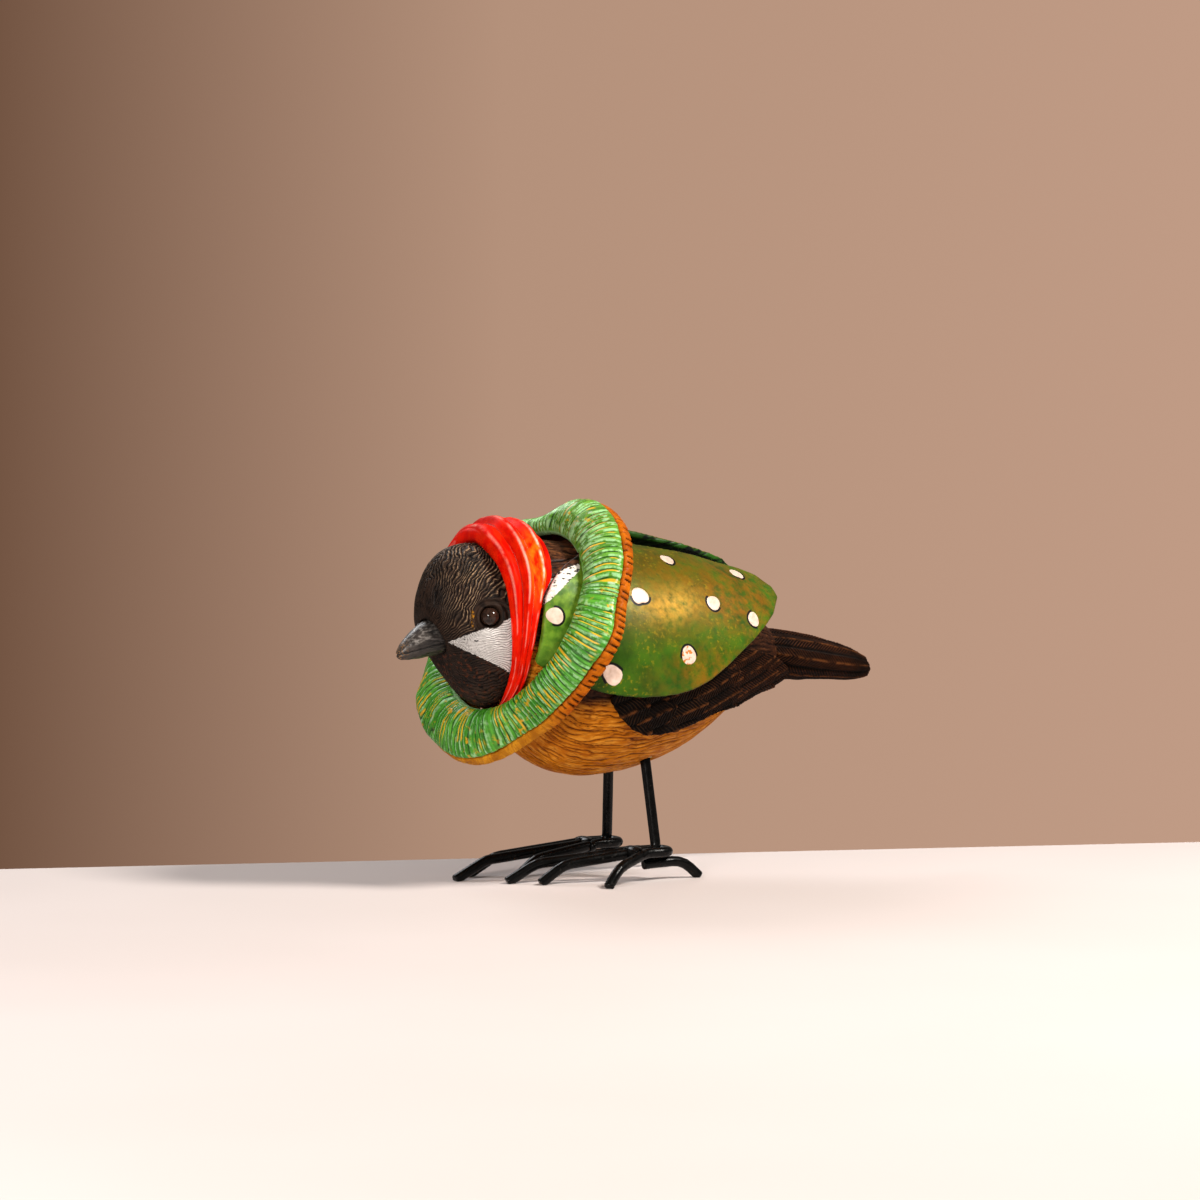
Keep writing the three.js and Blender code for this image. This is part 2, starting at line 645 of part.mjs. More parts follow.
for (const [name, side] of Object.entries(SIDES)) {
  addPiece(head, `${name}_eye`, eyeShape(side), EYE_GLOSS);
  addPiece(figurine, `${name}_cape_cover`, coverShape(name), CAPE_GREEN);
  addPiece(figurine, `${name}_wing`, wingShape(name), FEATHER_BROWN);
}

for (const { name, foot, group } of feet) {
  addPiece(group, `${name}_leg_wire`, legWire(foot), BLACK_ENAMEL);
  addPiece(group, `${name}_toe_hairpin`, toeHairpin(foot), BLACK_ENAMEL);
  addPiece(group, `${name}_hind_toe`, hindToe(foot), BLACK_ENAMEL);
  addPiece(group, `${name}_foot_weld`, weldBead(foot), BLACK_ENAMEL);
  addPiece(group, `${name}_leg_epoxy`, epoxySleeve(foot), CLEAR_EPOXY);
}

const middle = new THREE.Box3().setFromObject(figurine, true).getCenter(point());
figurine.position.set(-middle.x, -middle.y, 0);

export default figurine;
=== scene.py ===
"""Looks of a hand-painted resin chickadee with a red headscarf, a green ruff and dotted wing covers.

Every casting is an even, smoothed copy of its CAD node. Its carving (feather strokes, gills, pleats, notches)
is pushed into that copy along the surface normals, and the same patterns are stored on the points, where the
node materials read them as paint masks. Lengths are in metres, written as millimetres times MM.
"""
import math
from itertools import product

import bpy
import numpy as np
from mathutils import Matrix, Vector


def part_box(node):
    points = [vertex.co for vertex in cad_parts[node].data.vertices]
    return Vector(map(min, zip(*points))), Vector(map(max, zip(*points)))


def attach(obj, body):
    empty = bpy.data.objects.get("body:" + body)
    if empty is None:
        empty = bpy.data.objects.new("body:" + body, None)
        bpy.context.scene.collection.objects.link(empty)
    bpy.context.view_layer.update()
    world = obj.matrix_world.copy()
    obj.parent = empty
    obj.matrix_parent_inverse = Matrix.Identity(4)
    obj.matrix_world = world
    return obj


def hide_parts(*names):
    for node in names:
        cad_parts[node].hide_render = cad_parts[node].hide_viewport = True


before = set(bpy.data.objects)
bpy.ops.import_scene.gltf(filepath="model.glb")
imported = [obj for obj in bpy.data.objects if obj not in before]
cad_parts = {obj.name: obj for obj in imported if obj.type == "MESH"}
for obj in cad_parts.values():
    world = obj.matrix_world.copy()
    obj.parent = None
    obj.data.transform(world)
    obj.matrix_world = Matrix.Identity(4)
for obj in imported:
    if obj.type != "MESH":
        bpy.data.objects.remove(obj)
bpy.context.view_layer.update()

MM = 0.001


# ---- places worked out from the frame

def corner_arrays(node):
    """The lowest and highest corners of a CAD node as arrays."""
    low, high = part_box(node)
    return np.array(low), np.array(high)


def middle_of(node):
    low, high = corner_arrays(node)
    return (low + high) / 2


def unit(vector):
    return np.asarray(vector, float) / np.linalg.norm(vector)


MIDLINE = (middle_of("left_eye")[1] + middle_of("right_eye")[1]) / 2
HEAD_YAW = math.radians(4)
HEAD_FORWARD = np.array([math.cos(HEAD_YAW), math.sin(HEAD_YAW), 0])
HEAD_LEFT = np.array([-math.sin(HEAD_YAW), math.cos(HEAD_YAW), 0])
HEAD_LOW, HEAD_HIGH = corner_arrays("head_casting")
HEAD_RADIUS = 18.4 * MM
EYE_RISE = 0.9 * MM
HEAD_CENTRE = np.array([HEAD_HIGH[0] - HEAD_RADIUS, (HEAD_LOW[1] + HEAD_HIGH[1]) / 2,
                        middle_of("left_eye")[2] - EYE_RISE])
BEAK_DIRECTION = unit(middle_of("beak") - HEAD_CENTRE)


# ---- noise and small curves

RANDOM_VALUES = np.random.default_rng(7).uniform(-1, 1, 8192)
HASH_STEPS = (73856093, 19349663, 83492791, 39916801)


def smooth_step(value, low, high):
    """0 below low, 1 above high and a smooth rise between them."""
    t = np.clip((value - low) / (high - low), 0, 1)
    return t * t * (3 - 2 * t)


def bump(value, middle, width):
    """A bell of height 1 round middle."""
    return np.exp(-(((value - middle) / width) ** 2))


def lattice_noise(cells, seed, wrap=None):
    """Smooth noise in -1..1 over an N x 3 array of cell coordinates. wrap makes the first one periodic."""
    base = np.floor(cells).astype(np.int64)
    part = cells - base
    part = part * part * (3 - 2 * part)
    total = np.zeros(len(cells))
    for corner in product((0, 1), repeat=3):
        at = base + np.array(corner)
        if wrap is not None:
            at[:, 0] = np.mod(at[:, 0], wrap)
        mixed = at[:, 0] * HASH_STEPS[0] ^ at[:, 1] * HASH_STEPS[1] ^ at[:, 2] * HASH_STEPS[2]
        value = RANDOM_VALUES[(mixed ^ (seed * HASH_STEPS[3])) % len(RANDOM_VALUES)]
        weight = np.prod(np.where(corner, part, 1 - part), axis=1)
        total += value * weight
    return total


def cell_noise(first, second, third, seed, wrap=None):
    """lattice_noise from three cell coordinates, each an array or one number."""
    return lattice_noise(np.column_stack(np.broadcast_arrays(first, second, third)), seed, wrap)


def blobs(points, size, seed):
    """Noise whose blobs are about size across."""
    return lattice_noise(points / size, seed)


def strokes(across, along, length, seed):
    """Hair-like strokes: 0 in a groove, 1 on a ridge. across counts strokes, along is a distance."""
    level = seed * 0.37
    value = cell_noise(across, along / length, level, seed)
    value = value + 0.45 * cell_noise(across * 2, along / length * 1.6, level, seed + 1)
    return 1 - np.exp(-((value / 0.28) ** 2))


def combed(cells, along, length, seed, wrap):
    """Carved lines one cell apart that wander and fade in and out: 0 in a line, 1 between lines."""
    level = seed * 0.37
    wide = cell_noise(cells, along / length, level, seed, wrap)
    short = cell_noise(cells, along / (0.35 * length), level, seed + 1, wrap)
    wave = np.abs(np.sin(math.pi * (cells + 0.6 * wide + 0.26 * short)))
    strength = smooth_step(cell_noise(cells, along / length, level + 9, seed + 2, wrap), -0.75, 0)
    return 1 - strength * np.exp(-((wave / 0.5) ** 2))


def round_strokes(turn, reach, along, pitch, length, seed):
    """Combed lines that run along an axis. turn is the angle about it and reach the distance from it.
    The number of lines round the axis doubles as the shape widens, so their pitch stays about the same."""
    level = np.log2(np.maximum(2 * math.pi * reach / pitch, 8))
    lower = np.floor(level)
    share = smooth_step(level - lower, 0.35, 0.65)
    made = np.zeros(len(turn))
    for step, weight in ((0, 1 - share), (1, share)):
        count = (2 ** (lower + step)).astype(np.int64)
        made += weight * combed(turn / (2 * math.pi) * count, along, length, seed, count)
    return made


EDGE_BINS = 90


def edge_at(turn, values, wanted=None):
    """The largest value at each angle round a loop, smoothed and read back at every point or wanted angle."""
    cells = np.clip(((turn / (2 * math.pi) + 0.5) * EDGE_BINS).astype(int), 0, EDGE_BINS - 1)
    edge = np.full(EDGE_BINS, -np.inf)
    np.maximum.at(edge, cells, values)
    filled = np.flatnonzero(np.isfinite(edge))
    edge = np.interp(np.arange(EDGE_BINS), filled, edge[filled], period=EDGE_BINS)
    for _ in range(3):
        edge = (np.roll(edge, 1) + edge + np.roll(edge, -1)) / 3
    where = ((turn if wanted is None else wanted) / (2 * math.pi) + 0.5) * EDGE_BINS - 0.5
    return np.interp(where, np.arange(EDGE_BINS), edge, period=EDGE_BINS)


# ---- meshes

def add_object(name, data):
    made = bpy.data.objects.new(name, data)
    bpy.context.scene.collection.objects.link(made)
    return made


def read_points(mesh):
    points = np.zeros(len(mesh.vertices) * 3)
    mesh.vertices.foreach_get("co", points)
    return points.reshape(-1, 3)


def write_points(mesh, points):
    mesh.vertices.foreach_set("co", points.astype(np.float32).ravel())
    mesh.update()


def read_normals(mesh):
    normals = np.zeros(len(mesh.vertices) * 3)
    mesh.vertices.foreach_get("normal", normals)
    return normals.reshape(-1, 3)


def read_links(mesh):
    """A mesh's edges as pairs of point numbers, and how many edges meet at each point."""
    edges = np.zeros(len(mesh.edges) * 2, np.int64)
    mesh.edges.foreach_get("vertices", edges)
    degree = np.maximum(np.bincount(edges, minlength=len(mesh.vertices)), 1)
    return edges.reshape(-1, 2), degree


def neighbour_mean(values, edges, degree):
    """The mean of each point's neighbours, column by column."""
    start, end = edges[:, 0], edges[:, 1]
    count = len(values)
    columns = []
    for column in values.T:
        total = np.bincount(start, column[end], count) + np.bincount(end, column[start], count)
        columns.append(total / degree)
    return np.column_stack(columns)


def smoothed(mesh, rounds, keep_size):
    """Rounds off the CAD facets. keep_size follows each pull-in with a push-out, for sheets and wires."""
    points = read_points(mesh)
    edges, degree = read_links(mesh)
    steps = (0.6, -0.62) if keep_size else (0.6,)
    for _ in range(rounds):
        for step in steps:
            points = points + step * (neighbour_mean(points, edges, degree) - points)
    write_points(mesh, points)


def cast_copy(node, voxel, rounds, keep_size=False):
    """An even quad mesh with a CAD node's shape, smoothed, as a new piece that stands for the node."""
    source = add_object(node + "_source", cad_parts[node].data.copy())
    remesh = source.modifiers.new("even quads", "REMESH")
    remesh.mode = "VOXEL"
    remesh.voxel_size = voxel
    shape = source.evaluated_get(bpy.context.evaluated_depsgraph_get())
    mesh = bpy.data.meshes.new_from_object(shape)
    bpy.data.objects.remove(source)
    mesh.name = node + "_looks"
    mesh.materials.clear()
    for attribute in list(mesh.attributes):
        if attribute.name != "position" and not attribute.is_required and not attribute.is_internal:
            mesh.attributes.remove(attribute)
    smoothed(mesh, rounds, keep_size)
    mesh.polygons.foreach_set("use_smooth", [True] * len(mesh.polygons))
    piece = add_object(node + "_finished", mesh)
    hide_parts(node)
    return piece


def carve(piece, height):
    """Moves each point along its normal by height."""
    mesh = piece.data
    points = read_points(mesh) + read_normals(mesh) * height[:, None]
    write_points(mesh, points)


def store(piece, **fields):
    """Saves fields on the points, for the materials. Masks are 0..1, margins positive inside their mask."""
    for name, values in fields.items():
        attribute = piece.data.attributes.new(name, "FLOAT", "POINT")
        attribute.data.foreach_set("value", values.astype(np.float32))


def finish_piece(piece, material):
    piece.data.materials.append(material)
    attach(piece, "root")
    return piece


# ---- material building

def paint(text):
    """Linear colour from an sRGB hex string."""
    values = [int(text[i:i + 2], 16) / 255 for i in (0, 2, 4)]
    linear = [v / 12.92 if v <= 0.04045 else ((v + 0.055) / 1.055) ** 2.4 for v in values]
    return (*linear, 1)


class Shader:
    """One node material. Each method adds a node and returns its output socket."""

    def __init__(self, name):
        self.material = bpy.data.materials.new(name)
        self.material.use_nodes = True
        self.tree = self.material.node_tree
        self.surface = self.tree.nodes["Principled BSDF"]
        self.place = self.node("ShaderNodeTexCoord", {}).outputs["Object"]

    def node(self, kind, inputs, **settings):
        made = self.tree.nodes.new(kind)
        for key, value in settings.items():
            setattr(made, key, value)
        for key, value in inputs.items():
            self.plug(made.inputs[key], value)
        return made

    def plug(self, socket, value):
        """Sets an input to another node's output, a colour written in hex, or a plain value."""
        if isinstance(value, bpy.types.NodeSocket):
            self.tree.links.new(value, socket)
        else:
            socket.default_value = paint(value) if isinstance(value, str) else value

    def noise(self, size, detail=3, stretch=(1, 1, 1)):
        """Noise in about 0..1 with blobs of this size; stretch squeezes it along an axis."""
        scaled = self.node("ShaderNodeVectorMath", {0: self.place, 1: stretch}, operation="MULTIPLY")
        settings = {"Vector": scaled.outputs[0], "Scale": 1 / size, "Detail": detail}
        return self.node("ShaderNodeTexNoise", settings).outputs[0]

    def patches(self, size, detail, *limits, stretch=(1, 1, 1)):
        """Noise as a mask of soft-edged patches; the limits are those of between."""
        return self.between(self.noise(size, detail, stretch), *limits)

    def field(self, name):
        return self.node("ShaderNodeAttribute", {}, attribute_name=name).outputs["Fac"]

    def lines(self, across, along, width=0.05):
        """Fine drawn lines: 0 on a line, 1 between lines. across and along are fields counted in cells."""
        place = self.node("ShaderNodeCombineXYZ", {"X": self.field(across), "Y": self.field(along)})
        made = self.node("ShaderNodeTexNoise", {"Vector": place.outputs[0], "Scale": 1.0, "Detail": 2.0})
        away = self.math("ABSOLUTE", self.math("SUBTRACT", made.outputs[0], 0.5))
        return self.between(away, 0.2 * width, width)

    def inside(self, margin, blur=0.06, ragged=0.0, size=0.7 * MM):
        """1 where a margin field is positive, with a ragged edge of about that many units."""
        value = self.field(margin)
        if ragged:
            wobble = self.times(self.math("SUBTRACT", self.noise(size, 2), 0.5), 2 * ragged)
            value = self.math("ADD", value, wobble)
        return self.between(value, -blur, blur)

    def math(self, operation, first, second=0.0):
        return self.node("ShaderNodeMath", {0: first, 1: second}, operation=operation).outputs[0]

    def times(self, first, second):
        return self.math("MULTIPLY", first, second)

    def between(self, value, low, high, to_low=0.0, to_high=1.0):
        """value's place between low and high, clamped, as to_low..to_high."""
        made = self.node("ShaderNodeMapRange", {"Value": value, "From Min": low, "From Max": high,
                                                "To Min": to_low, "To Max": to_high})
        made.clamp = True
        return made.outputs[0]

    def raised(self, mask, low):
        """A 0..1 mask as low..1."""
        return self.between(mask, 0.0, 1.0, low, 1.0)

    def mix(self, factor, first, second):
        made = self.node("ShaderNodeMix", {}, data_type="RGBA")
        self.plug(made.inputs[0], factor)
        self.plug(made.inputs[6], first)
        self.plug(made.inputs[7], second)
        return made.outputs[2]

    def finish(self, colour, roughness, grain=None, grain_height=0.0, coat=0.0, sheen=0.2):
        """coat is the clear varnish over the paint and sheen the paint's own specular level."""
        self.plug(self.surface.inputs["Base Color"], colour)
        self.plug(self.surface.inputs["Roughness"], roughness)
        self.surface.inputs["Specular IOR Level"].default_value = sheen
        self.surface.inputs["Coat Weight"].default_value = coat
        self.surface.inputs["Coat Roughness"].default_value = 0.25
        if grain is not None:
            made = self.node("ShaderNodeBump", {"Height": grain, "Distance": grain_height, "Strength": 1.0})
            self.plug(self.surface.inputs["Normal"], made.outputs[0])
        return self.material


# ---- head

LID_RADIUS = 3.1 * MM
LID_GROOVE = 3.9 * MM
LID_EDGE = 3.1 * MM
# Carved lines round the beak's direction, and how far they turn towards the crown per metre of length.
HEAD_LINES = 84
HEAD_SWEEP = 0.045 / MM
CHEEK_LINES = 25
GOLD_AHEAD = 4.2 * MM
CHEEK_APEX_BEARING = 25
CHEEK_APEX_RISE = -19
CHEEK_UPPER_SLOPE = 0.37
CHEEK_LOWER_SLOPE = -0.44


def head_place(points):
    """Forward, left and up distances from the middle of the head."""
    away = points - HEAD_CENTRE
    return away @ HEAD_FORWARD, away @ HEAD_LEFT, away[:, 2]


def eye_distance(points, eye):
    """Distance from an eye, drawn out towards the rear so that the lids end in an almond corner."""
    away = points - middle_of(eye)
    rear = np.maximum(-(away @ HEAD_FORWARD), 0)
    return np.linalg.norm(away, axis=1) - 0.22 * rear


def cheek_place(points):
    """Place on the cheek: degrees inside the white wedge that opens from the corner of the beak to the scarf,
    and the slope of the line back to its apex. Both sides are alike."""
    forward, left, up = head_place(points)
    bearing = np.degrees(np.arctan2(np.abs(left), forward))
    rise = np.degrees(np.arctan2(up, np.hypot(forward, left)))
    past_apex = np.minimum(bearing, 90) - CHEEK_APEX_BEARING
    below_top = CHEEK_APEX_RISE + CHEEK_UPPER_SLOPE * past_apex - rise
    above_bottom = rise - (CHEEK_APEX_RISE + CHEEK_LOWER_SLOPE * past_apex)
    slope = (rise - CHEEK_APEX_RISE) / np.maximum(past_apex, 4)
    return np.minimum(below_top, above_bottom), slope


def head_flow(points):
    """Stroke place on the head: angle round the beak's line, distance from that line and length from the
    beak. The angle is bent so that strokes part round the eyes."""
    away = points - HEAD_CENTRE
    along = np.arccos(np.clip(away @ BEAK_DIRECTION / np.linalg.norm(away, axis=1), -1, 1)) * HEAD_RADIUS
    side = unit(np.cross([0, 0, 1], BEAK_DIRECTION))
    top = np.cross(BEAK_DIRECTION, side)
    turn = np.arctan2(away @ side, away @ top)
    reach = np.hypot(away @ side, away @ top)
    for eye in ("left_eye", "right_eye"):
        eye_away = middle_of(eye) - HEAD_CENTRE
        eye_turn = math.atan2(eye_away @ side, eye_away @ top)
        near = np.linalg.norm(points - middle_of(eye), axis=1)
        parting = 1 - 0.9 * np.minimum((4.3 * MM / np.maximum(near, 4.3 * MM)) ** 2, 1)
        share = smooth_step(near, 15 * MM, 9 * MM)
        turn = turn + share * (eye_turn + (turn - eye_turn) * parting - turn)
    turn = turn + 0.04 * blobs(points, 5 * MM, 11) + 0.012 * blobs(points, 1.6 * MM, 17)
    return turn, reach, along


def wound_lines(points, cells, seed):
    """Sine and cosine of wandering carved lines one cell apart. The sine is 0 in a line, the cosine on a
    ridge."""
    wander = 0.9 * blobs(points, 3 * MM, seed) + 0.5 * blobs(points, 1.2 * MM, seed + 1)
    return np.sin(math.pi * (cells + wander)), np.cos(math.pi * (cells + wander))


def finish_head():
    piece = cast_copy("head_casting", voxel=0.21 * MM, rounds=70)
    points = read_points(piece.data)
    turn, reach, along = head_flow(points)
    margin, slope = cheek_place(points)
    for eye in ("left_eye", "right_eye"):
        margin = np.minimum(margin, (eye_distance(points, eye) - LID_EDGE) / LID_EDGE * 20)
    cheek = smooth_step(margin, -0.6, 0.6)
    hair = wound_lines(points, (np.abs(turn) + HEAD_SWEEP * along) * HEAD_LINES / (2 * math.pi), 12)
    fan = wound_lines(points, slope * CHEEK_LINES, 18)
    sine, cosine = np.where(margin > 0, fan, hair)
    groove = 1 - np.exp(-((sine / 0.55) ** 2)) * np.maximum(smooth_step(reach, 5 * MM, 9 * MM), cheek)
    height = -MM * (0.32 - 0.14 * cheek) * (1 - groove) + 0.1 * MM * blobs(points, 3 * MM, 13)
    lids = np.zeros(len(points))
    for eye in ("left_eye", "right_eye"):
        away = eye_distance(points, eye)
        near = smooth_step(away, 5.2 * MM, 4.2 * MM) * (1 - cheek)
        lids = np.maximum(lids, near)
        rings = 0.3 * bump(away, LID_RADIUS, 0.4 * MM) - 0.34 * bump(away, LID_GROOVE, 0.3 * MM)
        rings += 0.14 * bump(away, 4.6 * MM, 0.3 * MM)
        height = height * (1 - near) + MM * rings * (1 - 0.8 * cheek)
    carve(piece, height)
    forward, left, up = head_place(points)
    ahead = points - (middle_of("left_eye") + GOLD_AHEAD * HEAD_FORWARD)
    gold = bump(ahead @ HEAD_FORWARD, 0, 0.35 * MM) * bump(ahead[:, 2], -0.5 * MM, 2.2 * MM) * (left > 0)
    # The upper head behind the beak, where the crests of the carved lines get a painted tan highlight.
    worn = smooth_step(up, -7 * MM, 3 * MM) * smooth_step(forward, 18 * MM, 13 * MM)
    bib = smooth_step(up, -7 * MM, -10 * MM)
    store(piece, sine=sine, cosine=cosine, lids=lids, cheek_margin=margin, gold=gold, worn=worn, bib=bib,
          hair_across=turn * 60 / (2 * math.pi), hair_along=along / (8 * MM))
    return finish_piece(piece, cap_material())


def cap_material():
    s = Shader("cap_black_paint")
    groove = s.between(s.math("ABSOLUTE", s.field("sine")), 0.12, 0.6)
    crest = s.between(s.math("ABSOLUTE", s.field("cosine")), 0.5, 0.1)
    hair = s.lines("hair_across", "hair_along", 0.035)
    patch = s.patches(7 * MM, 4, 0.36, 0.62)
    fine = s.patches(0.8 * MM, 4, 0.36, 0.6)
    cap = s.mix(patch, "1c140f", "2e2018")
    cap = s.mix(s.math("MAXIMUM", groove, s.field("lids")), "020101", cap)
    # Painted highlight: tan on the crests of the carved lines over the upper head, in patches, kept off the
    # lids.
    highlight_patches = s.patches(3.2 * MM, 4, 0.38, 0.6)
    crest_highlight = s.times(s.times(crest, s.field("worn")), s.raised(highlight_patches, 0.12))
    crest_highlight = s.times(crest_highlight, s.between(s.field("lids"), 0.6, 0.0))
    cap = s.mix(s.times(crest_highlight, s.between(fine, 0.0, 1.0, 0.25, 0.9)), cap, "a88a6a")
    cap = s.mix(s.raised(hair, 0.3), "030202", cap)
    rust = s.times(s.patches(1.1 * MM, 3, 0.57, 0.66), s.field("bib"))
    cap = s.mix(s.times(rust, 0.5), cap, "5e2c12")
    gold = s.times(s.between(s.field("gold"), 0.25, 0.6), s.patches(MM, 3, 0.42, 0.5))
    cap = s.mix(s.times(gold, 0.85), cap, "a8700e")
    drawn = s.between(s.math("ABSOLUTE", s.field("sine")), 0.15, 0.6)
    white = s.mix(drawn, s.mix(fine, "75716d", "57524d"), s.mix(fine, "c2bfbc", "d8d5d2"))
    specks = s.patches(1.6 * MM, 1, 0.735, 0.75)
    white = s.mix(specks, white, "14100e")
    colour = s.mix(s.inside("cheek_margin", 0.3, 1.0), cap, white)
    roughness = s.patches(1.5 * MM, 3, 0.3, 0.7, 0.45, 0.65)
    return s.finish(colour, roughness, s.math("ADD", s.noise(0.35 * MM, 4), hair), 0.06 * MM, 0.0, 0.1)


def finish_beak():
    piece = cast_copy("beak", voxel=0.18 * MM, rounds=40)
    points = read_points(piece.data)
    low, high = corner_arrays("beak")
    share = (points[:, 0] - low[0]) / (high[0] - low[0])
    line = low[2] + (0.44 - 0.31 * share) * (high[2] - low[2])
    gape = bump(points[:, 2], line, 0.22 * MM)
    turn = np.arctan2(points[:, 1] - middle_of("beak")[1], points[:, 2] - middle_of("beak")[2])
    root = smooth_step(share, 0.62, 0.35)
    bristles = strokes(turn * 7, points[:, 0], 4 * MM, 21)
    carve(piece, -0.28 * MM * gape - 0.14 * MM * (1 - bristles) * root + 0.05 * MM * blobs(points, MM, 22))
    tip = smooth_step(share, 0.74, 0.98)
    # Painted highlight: a light grey band along the upper side of the beak.
    upper = 0.45 * smooth_step(points[:, 2] - line, 0.8 * MM, 2.4 * MM) * bump(share, 0.6, 0.28)
    store(piece, gape=gape, tip=tip, upper=upper, groove=1 - (1 - bristles) * root)
    return finish_piece(piece, beak_material())


def beak_material():
    s = Shader("beak_black_paint")
    patch = s.patches(2.5 * MM, 4, 0.35, 0.68)
    horn = s.mix(patch, "1c1816", "3a3430")
    horn = s.mix(s.field("groove"), "0d0b0a", horn)
    # Painted highlight: brushed light grey streaks on the upper side of the beak.
    brushed = s.patches(0.9 * MM, 5, 0.48, 0.62, stretch=(0.5, 1.6, 1.6))
    horn = s.mix(s.times(brushed, s.field("upper")), horn, "9a948e")
    scuff = s.patches(0.8 * MM, 4, 0.52, 0.64, stretch=(1, 2.5, 2.5))
    horn = s.mix(s.times(scuff, s.field("tip")), horn, "8a6236")
    colour = s.mix(s.field("gape"), horn, "090706")
    roughness = s.patches(1.2 * MM, 3, 0.3, 0.7, 0.3, 0.5)
    return s.finish(colour, roughness, s.noise(0.4 * MM, 3), 0.05 * MM, 0.1, 0.3)


def finish_eye(node):
    piece = cast_copy(node, voxel=0.16 * MM, rounds=30)
    return finish_piece(piece, eye_material(node))


def eye_material(node):
    s = Shader(node + "_gloss")
    patch = s.patches(1.2 * MM, 2, 0.3, 0.7)
    colour = s.mix(patch, "150c08", "33221a")
    return s.finish(colour, s.patches(0.6 * MM, 2, 0.3, 0.7, 0.05, 0.08), s.noise(1.5 * MM, 1),
                    0.002 * MM, 0.0, 0.25)


# ---- headscarf

# Creases of the scarf as shares of its width from front to rear, and the height of the fold after each one.
SCARF_CREASES = (-0.02, 0.27, 0.58, 0.92, 1.2)
SCARF_FOLDS = (0.9, 1.5, 1.3, 0.7)


def band_place(points, centre):
    """Angle round the scarf's loop and share of the way across its band, from the front edge to the rear."""
    turn = np.arctan2(points[:, 1] - centre[1], points[:, 2] - centre[2])
    front = edge_at(turn, points[:, 0])
    rear = -edge_at(turn, -points[:, 0])
    return turn, (front - points[:, 0]) / (front - rear)


def finish_scarf():
    piece = cast_copy("headscarf", voxel=0.28 * MM, rounds=45)
    points = read_points(piece.data)
    centre = middle_of("headscarf")
    turn, share = band_place(points, centre)
    share = share + 0.03 * np.sin(turn * 2 + 0.6) + 0.02 * blobs(points, 10 * MM, 41)
    top = smooth_step(np.cos(turn), -0.35, 0.6)
    # fold is the height over the creases, crest the share of the width away from the nearest fold's ridge.
    fold = np.zeros(len(points))
    crest = np.zeros(len(points))
    for start, end, rise in zip(SCARF_CREASES, SCARF_CREASES[1:], SCARF_FOLDS):
        place = 2 * (share - start) / (end - start) - 1
        inside = np.abs(place) < 1
        fold[inside] = (rise * (0.5 + 0.5 * np.cos(math.pi * place)) ** 0.7)[inside]
        crest[inside] = (place * (end - start) / 2)[inside]
    fold = np.maximum(fold, 0.6 * smooth_step(share, 0.14, 0.05))
    lumps = 0.5 * top * blobs(points, 8 * MM, 42) + 0.06 * blobs(points, 1.6 * MM, 43)
    carve(piece, MM * ((0.35 + 0.65 * top) * (1.35 * fold - 0.8) + lumps))
    # A painted glow on the upper sides towards the rear: there the gold base shows through the red as orange
    # streaks, and the painted ridge highlights are strongest.
    glow = bump(np.abs(turn), 0.95, 0.4) * bump(share, 0.63, 0.2)
    store(piece, fold=fold, crest=crest, glow=glow, across=share * 10, along=turn * 2.4)
    return finish_piece(piece, scarf_material())


def scarf_material():
    s = Shader("scarf_red_paint")
    patch = s.patches(6 * MM, 4, 0.35, 0.65)
    red = s.mix(patch, "b00600", "d81402")
    # Painted shade: darker red in the creases between the folds.
    red = s.mix(s.between(s.field("fold"), 0.0, 0.25), "960902", red)
    streak = s.patches(2.4 * MM, 5, 0.38, 0.6, stretch=(1.8, 1, 0.5))
    # Orange streaks where the gold base under the red shows, laid only on the glow patch as painted light.
    red = s.mix(s.times(streak, s.between(s.field("glow"), 0.1, 0.9)), red, "ee7010")
    brushed = s.between(s.lines("across", "along", 0.12), 0.4, 0.0)
    red = s.mix(s.times(brushed, 0.15), red, "e8400f")
    # Painted highlight: thin pale streaks along each fold's ridge, strongest on the glow patch.
    aside = s.math("ABSOLUTE", s.math("ADD", s.field("crest"), 0.02))
    light = s.times(s.between(aside, 0.03, 0.004), s.patches(5 * MM, 5, 0.42, 0.56))
    red = s.mix(s.times(light, s.between(s.field("glow"), 0.0, 0.6, 0.2, 0.75)), red, "ffd8c4")
    roughness = s.patches(1.4 * MM, 3, 0.3, 0.7, 0.34, 0.5)
    return s.finish(red, roughness, s.noise(0.8 * MM, 4), 0.04 * MM, 0.0, 0.02)


# ---- ruff and its backing

GILLS = 124
RIM_NOTCHES = 128
NOTCH_LENGTH = 5.0 * MM
# How far the rim's rear corner is drawn forward, and how far from it that reaches.
RIM_PULL = 1.4 * MM
RIM_PULL_LENGTH = 3.4 * MM


def ring_frame(node):
    """Middle of the hole, axis (towards the beak), sideways and upward directions of the collar's ring."""
    points = read_points(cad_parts[node].data)
    centre = (points.min(0) + points.max(0)) / 2
    axis = np.linalg.eigh(np.cov((points - points.mean(0)).T))[1][:, 0]
    axis = axis * np.sign(axis[0])
    side = unit(np.cross([0, 0, 1], axis))
    up = np.cross(axis, side)
    angles = np.linspace(-math.pi, math.pi, EDGE_BINS, endpoint=False)
    for _ in range(4):
        turn, reach, _ = ring_place(points, (centre, axis, side, up))
        hole = -edge_at(turn, -reach, angles)
        centre = centre + 2 * (side * np.mean(hole * np.sin(angles)) + up * np.mean(hole * np.cos(angles)))
    return centre, axis, side, up


def ring_place(points, ring):
    """Angle round the ring, distance from its axis and place along its axis."""
    centre, axis, side, up = ring
    away = points - centre
    return np.arctan2(away @ side, away @ up), np.hypot(away @ side, away @ up), away @ axis


